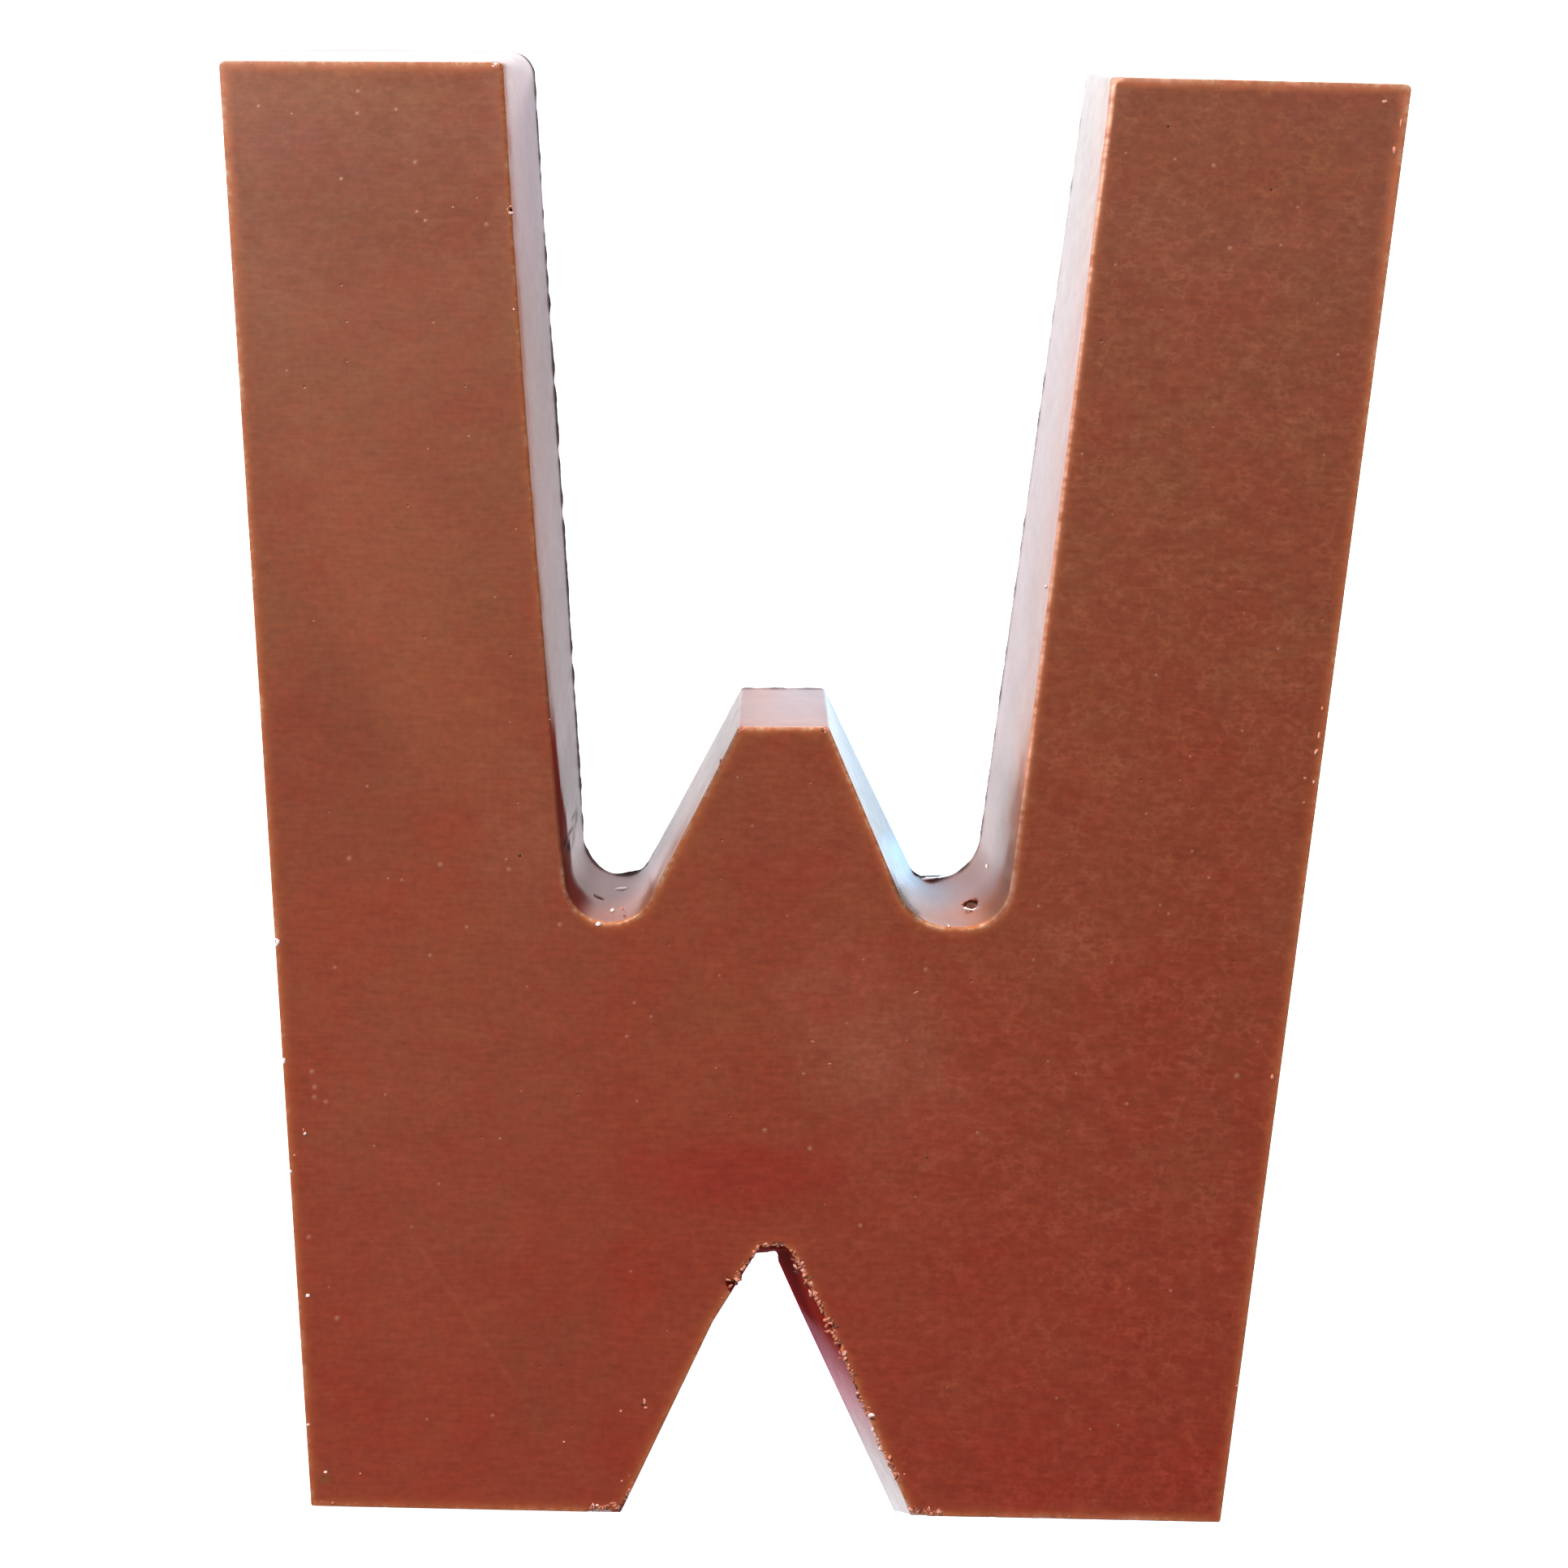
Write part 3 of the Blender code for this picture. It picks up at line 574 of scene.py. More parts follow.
def lip_reach():
    """How far a thin lip stands out at the foot of the wall; it is painted dark as a contact shadow along
    the table.
    """
    uneven = np.clip(0.65 + 1.4 * ripple(BACK_LINE, 0, 1.8, 4, 4, 1), 0.15, 1.8)
    fine = 1 + 0.35 * ripple(BACK_LINE, 0, 0.5, 6, 2, 9)
    in_bowl = FACES_UP * ramp(LINE_Y, -8, -11)
    left_bowl = LEFT_GAP * in_bowl * (0.15 + 0.21 * ramp(LINE_X, -19, -18))
    right_bowl = RIGHT_GAP * in_bowl * 0.14
    peak = INNER_EDGE * FACES_UP * (LINE_Y > 3) * 0.07
    reach = np.maximum.reduce([LEFT_WALL * 0.16, left_bowl, right_bowl, RIGHT_WALL * 0.05, peak])
    return reach * MM * uneven * fine


LIP = lip_reach()


# The mesh of the letter

CHANNELS = ("dull", "shade", "warm", "broken", "worn", "rim", "wall", "speck")
WALL_HEIGHTS = [0.45, 1.0, 1.8, 2.8, 3.9, 5.0, 6.1, 7.2, 8.3, 9.3, 10.2, 11.0, 11.6, 12.1, 12.5, 12.8, 13.05]
WALL_WAVE = 0.035 * MM
LIP_FULL = 0.08 * MM
LIP_SHADE_REACH = 1.1 * MM
BROKEN_FULL = 0.06 * MM
# How much of the rim's painted glow a broken wall shows
WALL_RIM_GLOW = 0.6

# The rows at the foot of the wall: height, inset from the outline and share of the lip
FOOT_ROWS = (
    (0.0, BACK_EDGE_ROUND, 1.0),
    (0.05 * MM, BACK_EDGE_ROUND * 0.3, 1.0),
    (0.18 * MM, 0.02 * MM, 0.8),
)

# The rows round the face's edge: angle of the rounding in degrees, and how strongly the painted highlight
# shows on them
EDGE_ROWS = ((0, 0.1), (22, 0.3), (45, 0.8), (68, 1.0), (90, 0.6))


class Points:
    """The points of the letter's mesh, row by row, and each channel's value at every point."""

    def __init__(self):
        self.lines = []
        self.places = []
        self.channels = {name: [] for name in CHANNELS}

    def add(self, line, height, **given):
        """Adds points with the given channels; the other channels are 0 there."""
        self.lines.append(line)
        self.places.append(with_height(line, height))
        for name, values in self.channels.items():
            values.append(np.broadcast_to(given.get(name, 0.0), len(line)))

    def add_row(self, line, height, broken=0.0, rim=0.0, wall=1.0, shade=None, worn=0.0):
        """Adds a closed row round the letter, with one point for each point of the outline."""
        middle_height = np.mean(height)
        self.add(
            line, height,
            dull=np.maximum(painted_red_shade_at(middle_height) * wall, NICK_RED_SHADE * (broken > 0)),
            shade=darkness(middle_height) if shade is None else shade,
            warm=warmth(middle_height),
            broken=broken,
            worn=np.maximum(EDGE_HIGHLIGHT * worn, NICK_PALE * broken),
            rim=RIM_GLOW_SHARE * rim,
            wall=wall,
        )


def wave(line, height):
    """The walls' slight waviness, which fades out at the table and at the face."""
    broad = ripple(line, height, 5.5, 8, 3, 5)
    small = ripple(line, height, 1.6, 2, 9, 4)
    fade = min(1.0, height / (2 * MM), (THICKNESS - height) / (1.2 * MM))
    return WALL_WAVE * (broad + 0.4 * small) * max(fade, 0.0)


def brokenness(short):
    """How broken the surface is, from 0 to 1, where a chip has taken so much off it."""
    return np.clip(short / BROKEN_FULL, 0, 1)


def add_wall(points):
    """The rows from the back's edge up the wall and round the face's edge."""
    # The lip and the wall just above it are painted dark, as a painted contact shadow
    lip_shade = np.clip(LIP / LIP_FULL, 0, 1)
    for height, inset, share in FOOT_ROWS:
        out = LIP * share - inset - BACK_CUT
        points.add_row(BACK_LINE + BACK_SIDES * out[:, None], height, shade=lip_shade)
    for number in WALL_HEIGHTS:
        height = number * MM
        line = BACK_LINE + (FACE_LINE - BACK_LINE) * (height / THICKNESS)
        out = wave(line, height) - np.clip(BACK_CUT - LEAN * height / THICKNESS, 0, None)
        inward, down, short = cut_profile(np.zeros(COUNT), THICKNESS - height, CUT)
        broken = brokenness(short)
        shade = np.maximum(darkness(height), lip_shade * max(0.0, 1 - height / LIP_SHADE_REACH))
        line = line + FACE_SIDES * (out - inward)[:, None]
        points.add_row(line, THICKNESS - down, broken, broken * WALL_RIM_GLOW, shade=shade)
    top_share = 1 - EDGE_ROUND / THICKNESS
    top_line = BACK_LINE + (FACE_LINE - BACK_LINE) * top_share[:, None]
    for angle, worn in EDGE_ROWS:
        swing = math.radians(angle)
        inward = EDGE_ROUND * (1 - math.cos(swing))
        down = EDGE_ROUND * (1 - math.sin(swing))
        inward, down, short = cut_profile(inward, down, CUT)
        line = top_line - FACE_SIDES * inward[:, None]
        points.add_row(line, THICKNESS - down, brokenness(short), 1.0, 1 - angle / 90, worn=worn)


def inside(line, places):
    """Which places lie inside a closed line."""
    result = np.zeros(len(places), bool)
    ends = np.roll(line, -1, axis=0)
    for (x0, y0), (x1, y1) in zip(line, ends):
        if y0 == y1:
            continue
        crosses = (y0 > places[:, 1]) != (y1 > places[:, 1])
        at = (x1 - x0) * (places[:, 1] - y0) / (y1 - y0) + x0
        result ^= crosses & (places[:, 0] < at)
    return result


def grid(line, spacing):
    """Places on a slightly shaken grid inside a closed line."""
    low = line.min(axis=0)
    high = line.max(axis=0)
    across = np.arange(low[0], high[0], spacing)
    along = np.arange(low[1], high[1], spacing)
    places = np.stack(np.meshgrid(across, along), axis=-1).reshape(-1, 2)
    shake = np.random.default_rng(SEED)
    places += shake.uniform(-0.25, 0.25, places.shape) * spacing
    return places[inside(line, places)]


def tree_of(line):
    tree = kdtree.KDTree(len(line))
    for index, (x, y) in enumerate(line):
        tree.insert((x, y, 0), index)
    tree.balance()
    return tree


def nearest(tree, places):
    found = [tree.find((x, y, 0)) for x, y in places]
    return np.array([hit[1] for hit in found]), np.array([hit[2] for hit in found])


# How triangles are drawn: only those inside the line, with points merged that are this close
ONLY_INSIDE = 1
MERGED = 1e-6


def filled(line, places):
    """Triangles that fill a closed line through the given places inside it."""
    count = len(line)
    every = [Vector(point) for point in np.concatenate([line, places]) / MM]
    edges = [(index, (index + 1) % count) for index in range(count)]
    _, _, faces, origins, _, _ = delaunay_2d_cdt(every, edges, [list(range(count))], ONLY_INSIDE, MERGED)
    kept = []
    for face in faces:
        corners = [origins[index][0] for index in face if origins[index]]
        if len(set(corners)) == 3:
            kept.append(corners)
    return kept


# The face: a grid, rings near the edge and a small pit or bump at each speck; the back: a coarse grid

SPECK_COUNT = 150
SPECK_RINGS = ((0.0, 1), (0.5, 6), (1.0, 9), (1.7, 11))
SPECK_FROM_EDGE = 1.4 * MM
SPECK_APART = 0.9 * MM
SPECK_CLEAR = 0.42 * MM
GRID_STEP = 0.92 * MM
GRID_FROM_EDGE = 1.05 * MM
EDGE_RINGS = (0.42 * MM, 0.6 * MM, 0.85 * MM)
RING_CLEAR = 0.93
# How far in from the edge the face shows the rim's painted glow
RIM_GLOW_BAND = 1.25 * MM
BACK_GRID_STEP = 5 * MM
BACK_FROM_EDGE = 1 * MM


def speck_list(rim):
    """Each speck's middle, its radius and how far it stands up, or down where negative."""
    draw = np.random.default_rng(SEED + 1)
    named = [centred(x, y) for x, y in SPECKS]
    low = rim.min(axis=0)
    high = rim.max(axis=0)
    thrown = draw.uniform(low, high, (SPECK_COUNT * 3, 2))
    thrown = thrown[inside(rim, thrown)][:SPECK_COUNT]
    specks = [(middle, draw.uniform(0.18, 0.26) * MM, draw.uniform(0.02, 0.05) * MM) for middle in named]
    for middle in thrown:
        radius = draw.uniform(0.08, 0.17) * MM
        rise = radius * draw.choice([-0.5, 0.25, 0.35])
        specks.append((middle, radius, rise))
    return specks


def speck_rings(specks):
    """The points round each speck: x, y, rise and the weight of the speck's pale painted highlight."""
    dots = []
    for middle, radius, rise in specks:
        for reach, count in SPECK_RINGS:
            weight = max(0.0, 1 - 0.7 * reach) if rise > 0 else 0.0
            for step in range(count):
                angle = math.tau * (step + 0.5 * reach) / count
                spot = middle + np.array((math.cos(angle), math.sin(angle))) * radius * reach
                dots.append((*spot, rise * max(0.0, 1 - reach * reach), weight))
    return np.array(dots)


def far_from(tree, places, distance):
    """Those of the places that are farther than a distance from every point in a tree."""
    _, away = nearest(tree, places)
    return places[away > distance]


def face_places(rim, face_tree):
    """The points of the face inside its rim: x, y, rise and speck weight."""
    specks = speck_list(rim)
    _, away = nearest(face_tree, [speck[0] for speck in specks])
    kept = []
    for speck, reach in zip(specks, away):
        clear = all(np.hypot(*(speck[0] - other[0])) > SPECK_APART for other in kept)
        if reach > SPECK_FROM_EDGE and clear:
            kept.append(speck)
    base = far_from(face_tree, grid(rim, GRID_STEP), GRID_FROM_EDGE)
    base = far_from(tree_of([speck[0] for speck in kept]), base, SPECK_CLEAR)
    rings = [far_from(face_tree, FACE_LINE - FACE_SIDES * inset, RING_CLEAR * inset) for inset in EDGE_RINGS]
    base = np.concatenate([base, *rings])
    base = base[inside(rim, base)]
    plain = np.column_stack([base, np.zeros_like(base)])
    return np.concatenate([plain, speck_rings(kept)])


def face_wave(places):
    """How the face swells and sinks a little, and lies slightly below its edge."""
    broad = ripple(places, 0, 16, 5, 5, 2)
    middling = ripple(places, 0, 4.5, 1, 3, 8)
    return 0.03 * MM * broad + 0.008 * MM * middling - 0.04 * MM


def add_face(points):
    """The points of the face, and its triangles."""
    edge = points.lines[-1]
    face_tree = tree_of(FACE_LINE)
    found = face_places(edge, face_tree)
    spots = found[:, :2]
    index, away = nearest(face_tree, spots)
    inward, down, short = cut_profile(away, np.zeros(len(spots)), CUT[index])
    moved = spots - FACE_SIDES[index] * (inward - away)[:, None]
    fade = ramp(away, 0.3 * MM, 2.5 * MM)
    broken = brokenness(short)
    glow = HIGH_OUTSIDE[index] * ramp(away, 1.5 * MM, 0.45 * MM)
    share = 0.22 + 0.12 * HIGH_OUTSIDE[index]
    points.add(
        moved, THICKNESS - down + face_wave(spots) * fade + found[:, 2],
        dull=NICK_RED_SHADE[index] * (short > 0),
        broken=broken,
        worn=np.maximum(EDGE_HIGHLIGHT[index] * ramp(away, 0.7 * MM, 0.3 * MM) * share, NICK_PALE[index] * broken),
        rim=np.maximum(RIM_GLOW_SHARE[index] * np.clip(1 - away / RIM_GLOW_BAND, 0, 1), glow),
        speck=found[:, 3],
    )
    return filled(edge, spots)


def add_back(points):
    """The points of the back, and its triangles."""
    under = points.lines[0]
    spots = far_from(tree_of(under), grid(under, BACK_GRID_STEP), BACK_FROM_EDGE)
    points.add(spots, 0.0, wall=0.5)
    return filled(under, spots)


def add_attribute(mesh, name, values):
    attribute = mesh.attributes.new(name, "FLOAT", "POINT")
    attribute.data.foreach_set("value", np.asarray(values, np.float32))


def renumbered(corners, edge_start, inner_start):
    """A triangle's corners as the mesh numbers them, on the row round it and among the points inside."""
    return [edge_start + at if at < COUNT else inner_start + at - COUNT for at in corners]


def letter_mesh():
    points = Points()
    add_wall(points)
    row_starts = range(0, len(points.lines) * COUNT, COUNT)
    faces = []
    for lower, upper in zip(row_starts, row_starts[1:]):
        for index in range(COUNT):
            following = (index + 1) % COUNT
            faces.append((lower + index, upper + index, upper + following, lower + following))
    face_start = len(points.lines) * COUNT
    faces.extend(renumbered(corners, row_starts[-1], face_start) for corners in add_face(points))
    back_start = face_start + len(points.lines[-1])
    faces.extend(renumbered(reversed(corners), 0, back_start) for corners in add_back(points))
    mesh = bpy.data.meshes.new("letter")
    mesh.from_pydata(np.concatenate(points.places).tolist(), [], faces)
    for name, values in points.channels.items():
        add_attribute(mesh, name, np.concatenate(values))
    mesh.update()
    return mesh


# Bubbles and crumbs


def lump(middle, half, turn, steps, uneven, seed):
    """A ball of given half widths with an uneven surface, as points and faces."""
    work = bmesh.new()
    bmesh.ops.create_icosphere(work, subdivisions=steps, radius=1.0)
    spin = Matrix.Rotation(math.radians(turn), 3, "Z")
    points = []
    for vertex in work.verts:
        swell = 1 + uneven * noise.noise(vertex.co * 1.3 + Vector((seed, 2 * seed, 3)))
        shaped = Vector(a * b for a, b in zip(vertex.co * swell, half))
        points.append(spin @ shaped + Vector(middle))
    faces = [[vertex.index for vertex in face.verts] for face in work.faces]
    work.free()
    return points, faces


def joined(name, lumps):
    mesh = bpy.data.meshes.new(name)
    points = []
    faces = []
    for lump_points, lump_faces in lumps:
        first = len(points)
        points.extend(lump_points)
        faces.extend([first + index for index in face] for face in lump_faces)
    mesh.from_pydata([tuple(point) for point in points], [], faces)
    mesh.update()
    return mesh


def placed(x, y, z):
    """A place in millimetres in the frame of the corners, as a place in the letter's own frame."""
    return (*centred(x, y), z * MM)


def new_object(name, data):
    """A new object in the scene."""
    made = bpy.data.objects.new(name, data)
    bpy.context.scene.collection.objects.link(made)
    return made


def carve_hollows(letter):
    """Cuts the bubbles into the letter, and keeps only the result."""
    lumps = []
    for number, (middle, half) in enumerate(HOLLOWS):
        lumps.append(lump(placed(*middle), np.multiply(half, MM), 0, 4, 0.25, number + 1))
    shape = joined("hollows", lumps)
    for name in CHANNELS:
        add_attribute(shape, name, np.full(len(shape.vertices), HOLLOW_LOOK.get(name, 0.0)))
    cutter = new_object("hollows", shape)
    carve = letter.modifiers.new("hollows", "BOOLEAN")
    carve.operation = "DIFFERENCE"
    carve.solver = "MANIFOLD"
    carve.object = cutter
    evaluated = letter.evaluated_get(bpy.context.evaluated_depsgraph_get())
    carved = bpy.data.meshes.new_from_object(evaluated)
    letter.modifiers.remove(carve)
    plain = letter.data
    letter.data = carved
    bpy.data.meshes.remove(plain)
    bpy.data.objects.remove(cutter)


# How likely a crumb is at each point of the edge; the later of these holds where two overlap
BESIDE_PEAK = (FACES_LEFT > 0.5) & (LINE_Y > -6) & (LINE_Y < 12)
BY_FEET = (LINE_Y < -74.5) & (np.abs(np.abs(LINE_X) - 16) < 2.5)
CRUMB_CHANCES = (
    (IN_NOTCH & (LINE_Y > -61) & (FACE_SIDES[:, 0] < 0.5), 0.34),
    (IN_NOTCH & (LINE_Y > -52.5) & (FACE_SIDES[:, 0] > 0.5), 0.34),
    (IN_NOTCH & (LINE_Y <= -61) & (FACE_SIDES[:, 0] < 0.5), 0.05),
    (RIGHT_GAP & BESIDE_PEAK, 0.1),
    (BY_FEET, 0.12),
)
CRUMB_CHANCE_ELSEWHERE = 0.006
CRUMB_SIZE_IN_NOTCH = (0.1, 0.3)
CRUMB_SIZE_ELSEWHERE = (0.06, 0.15)


def edge_crumbs():
    """Small crumbs along the chipped edge of the notch and sparsely along the other edges."""
    draw = np.random.default_rng(SEED + 2)
    chance = np.full(COUNT, CRUMB_CHANCE_ELSEWHERE)
    for where, value in CRUMB_CHANCES:
        chance[where] = value
    lumps = []
    for index in np.flatnonzero(draw.uniform(0, 1, COUNT) < chance):
        size = draw.uniform(*(CRUMB_SIZE_IN_NOTCH if IN_NOTCH[index] else CRUMB_SIZE_ELSEWHERE)) * MM
        inset = draw.uniform(0.0, 0.35) * MM + CUT[index] * 0.4
        spot = FACE_LINE[index] - FACE_SIDES[index] * inset
        height = THICKNESS - CUT[index] * 0.45 - draw.uniform(0.0, 0.1) * MM
        half = draw.uniform(0.7, 1.3, 3) * size
        pale = draw.uniform(0.3, 0.7)
        lumps.append((*lump((*spot, height), half, draw.uniform(0, 180), 1, 0.8, draw.uniform(0, 9)), pale))
    return lumps


def scattered_crumbs():
    draw = np.random.default_rng(SEED + 3)
    lumps = []
    for *ends, count, spread, size, base_pale in SCATTERS:
        start, end = np.reshape(ends, (2, 2))
        for _ in range(count):
            middle = start + (end - start) * draw.uniform()
            middle = middle + draw.normal(0.0, spread, 2)
            half = draw.uniform(0.5, 1.5, 3) * size * MM * (1.25, 0.8, 0.36)
            place = placed(*middle, THICKNESS / MM - 0.03)
            pale = min(1.0, max(0.0, base_pale - 0.06 + draw.uniform(-0.35, 0.28)))
            lumps.append((*lump(place, half, draw.uniform(0, 180), 2, 1.1, draw.uniform(0, 9)), pale))
    return lumps


def crumb_mesh():
    lumps = edge_crumbs() + scattered_crumbs()
    for number, (x, y, z, *half, turn, pale) in enumerate(BEADS):
        lumps.append((*lump(placed(x, y, z), np.multiply(half, MM), turn, 2, 0.5, number + 2), pale))
    mesh = joined("crumbs", [(points, faces) for points, faces, _ in lumps])
    add_attribute(mesh, "pale", np.concatenate([np.full(len(points), pale) for points, _, pale in lumps]))
    return mesh


# Materials

FAR = 1000.0
FIRST_COLOR = 6
SECOND_COLOR = 7
MIXED_COLOR = 2


def opaque(color):
    """A colour with its alpha, or an output that gives one."""
    return color if isinstance(color, bpy.types.NodeSocket) else (*color, 1.0)


class Graph:
    """The nodes of one material, with short ways to add the ones that are used here."""

    def __init__(self, name):
        self.material = bpy.data.materials.new(name)
        self.material.use_nodes = True
        self.tree = self.material.node_tree
        self.shader = self.tree.nodes["Principled BSDF"]
        inputs = {0: self.node("TexCoord", {}, "Object"), 1: [1 / MM] * 3, 2: (*(MIDDLE / MM), 0.0)}
        self.spots = self.node("VectorMath", inputs, operation="MULTIPLY_ADD")

    def fill(self, node, inputs):
        """Sets inputs of a node, or links them where the value is another node's output."""
        for name, value in inputs.items():
            if isinstance(value, bpy.types.NodeSocket):
                self.tree.links.new(value, node.inputs[name])
            else:
                node.inputs[name].default_value = value

    def node(self, kind, inputs, output=0, **settings):
        """Adds a node with the given inputs and settings, and returns one of its outputs."""
        made = self.tree.nodes.new("ShaderNode" + kind)
        for name, value in settings.items():
            setattr(made, name, value)
        self.fill(made, inputs)
        return made.outputs[output]

    def axis(self, name):
        """A place's distance along x or y, in millimetres in the frame of the corners."""
        return self.node("SeparateXYZ", {0: self.spots}, name)

    def math(self, operation, *values):
        return self.node("Math", dict(enumerate(values)), operation=operation)

    def times(self, first, second):
        return self.math("MULTIPLY", first, second)

    def total(self, *parts):
        """The sum of several values, each times its own weight."""
        result = 0.0
        for value, weight in parts:
            result = self.math("ADD", result, self.times(value, weight))
        return result

    def noise(self, size, offset, detail=2.0, rough=0.5):
        """Noise centred on 0, from about -0.5 to 0.5; size is in millimetres, one or along x, y and z."""
        scale = [1 / width for width in np.broadcast_to(size, 3)]
        inputs = {"Vector": self.spots, "Location": (offset, 2 * offset, 3 * offset), "Scale": scale}
        spots = self.node("Mapping", inputs)
        inputs = {"Vector": spots, "Scale": 1.0, "Detail": detail, "Roughness": rough}
        return self.math("SUBTRACT", self.node("TexNoise", inputs, "Fac"), 0.5)

    def oval(self, x, y, half_x, half_y, turn, uneven=0.0):
        """How far inside a soft uneven oval a place is, from 0 outside it to 1 at its middle."""
        inputs = {"Vector": self.spots, "Location": (x, y, 0.0), "Scale": (half_x, half_y, FAR)}
        inputs["Rotation"] = (0.0, 0.0, math.radians(turn))
        inner = self.node("Mapping", inputs, vector_type="TEXTURE")
        length = self.node("VectorMath", {0: inner}, "Value", operation="LENGTH")
        return self.rise(self.math("ADD", length, uneven), 1.3, 0.4)

    def rise(self, value, start, end):
        """A smooth rise of a value from 0 at start to 1 at end."""
        inputs = {"Value": value, "From Min": start, "From Max": end}
        return self.node("MapRange", inputs, "Result", interpolation_type="SMOOTHSTEP")

    def mix(self, factor, first, second, blend="MIX"):
        inputs = {0: factor, FIRST_COLOR: opaque(first), SECOND_COLOR: opaque(second)}
        return self.node("Mix", inputs, MIXED_COLOR, data_type="RGBA", blend_type=blend)

    def tinted(self, factor, color, tint):
        """A colour that is multiplied by a tint as far as the factor says."""
        return self.mix(factor, color, self.mix(1.0, color, tint, "MULTIPLY"))

    def attribute(self, name):
        return self.node("Attribute", {}, "Fac", attribute_name=name)

    def bump(self, height, strength, distance):
        return self.node("Bump", {"Height": height, "Strength": strength, "Distance": distance})


# The chocolate's colours

# The face's colour at its foot and top, and its tint at left and right: partly its own tone, partly a
# painted sheen of the light from the upper left
FACE_LOW = (0.25, 0.0335, 0.0158)
FACE_HIGH = (0.207, 0.053, 0.0205)
FACE_LEFT = (1.008, 1.04, 1.045)
FACE_RIGHT = (0.885, 0.752, 0.69)
PATCH_RED = (1.03, 0.8, 0.8)
PATCH_BROWN = (0.97, 1.16, 1.1)
MARK_TINT = (1.27, 1.6, 1.95)
# The painted orange glow of light through the thin edge
RIM_GLOW_ORANGE = (0.39, 0.1, 0.032)
BROKEN_PALE = (0.44, 0.145, 0.078)
# The pale painted highlight on the small bumps
SPECK_PALE = (0.36, 0.15, 0.095)
# The painted highlight along the edges: orange, cream, and pink by the right stem
HIGHLIGHT_ORANGE = (0.5, 0.15, 0.05)
HIGHLIGHT_CREAM = (0.62, 0.4, 0.25)
HIGHLIGHT_PINK = (0.76, 0.4, 0.29)
WALL_BROWN = (0.115, 0.026, 0.021)
# The warm brown where the wall's reflection is painted out, a painted dimming
WALL_WARM = (0.27, 0.09, 0.05)
# A dark red for painted shade on the walls and in chips
SHADE_RED = (0.238, 0.018, 0.011)
SHADE_GREY = (0.03, 0.026, 0.024)

ROUGH_FACE = 0.4
ROUGH_WALL = 0.24
ROUGH_BROKEN = 0.55
SHINE = 0.5


def face_color(graph):
    """The face: redder towards its foot and darker and redder to the right, partly its own tone and partly a
    painted sheen of the light from the upper left; mottled, with soft reddish and brownish patches.
    """
    x = graph.axis("X")
    y = graph.axis("Y")
    color = graph.mix(graph.rise(y, -95, 55), FACE_LOW, FACE_HIGH)
    sides = graph.mix(graph.rise(x, -60, 60), FACE_LEFT, FACE_RIGHT)
    color = graph.mix(1.0, color, sides, "MULTIPLY")
    broad = graph.noise(11, 3)
    small = graph.noise((3.2, 2.4, 3.0), 8, rough=0.6)
    where = graph.total((broad, 1.3), (small, 1.0))
    color = graph.tinted(graph.rise(where, -0.1, 0.6), color, PATCH_RED)
    color = graph.tinted(graph.rise(where, 0.1, -0.6), color, PATCH_BROWN)
    uneven = graph.times(graph.noise(3.5, 15, rough=0.6), 0.9)
    for *place, tint in BLOTCHES:
        color = graph.tinted(graph.oval(*place, uneven), color, tint)
    patch = graph.rise(graph.noise((1.2, 0.85, 1.0), 17, rough=0.6), -0.09, 0.12)
    bent = graph.noise((1.5, 1.15, 1.3), 21, rough=0.55)
    torn = graph.rise(graph.noise((2.6, 2.2, 2.4), 27), -0.06, 0.08)
    curl = graph.times(graph.rise(graph.math("ABSOLUTE", bent), 0.085, 0), torn)
    right = graph.rise(x, -30, 38)
    top = graph.rise(y, 40, 60)
    rough = graph.total((1.0, 0.25), (right, 0.75))
    patchy = graph.math("MAXIMUM", rough, graph.times(top, 0.9))
    curled = graph.times(graph.times(rough, right), curl)
    marks = graph.total((graph.times(patchy, patch), 0.4), (curled, 0.62))
    color = graph.tinted(marks, color, MARK_TINT)
    mottle = graph.noise((0.75, 0.62, 0.7), 1, rough=0.6)
    streak = graph.noise((2.8, 0.42, 2.8), 5, detail=1.0)
    upright = graph.noise((0.4, 1.9, 1.9), 6, detail=1.0)
    broader = graph.noise((6.0, 4.5, 6.0), 12)
    tone = graph.total((mottle, 0.42), (streak, 0.28), (upright, 0.12), (broader, 0.18))
    inputs = {0: color, "Scale": graph.math("ADD", tone, 1.0)}
    return graph.node("VectorMath", inputs, operation="SCALE"), tone


def edge_highlight_color(graph):
    """The painted highlight on the edges: flecked orange and cream, and pinkish along the right stem's inner
    edge.
    """
    x = graph.axis("X")
    flecked = graph.mix(graph.rise(graph.noise(0.6, 9, rough=0.6), -0.12, 0.18), HIGHLIGHT_ORANGE, HIGHLIGHT_CREAM)
    by_stem = graph.times(graph.rise(x, 20, 24), graph.rise(x, 42, 38))
    return graph.mix(by_stem, flecked, HIGHLIGHT_PINK)


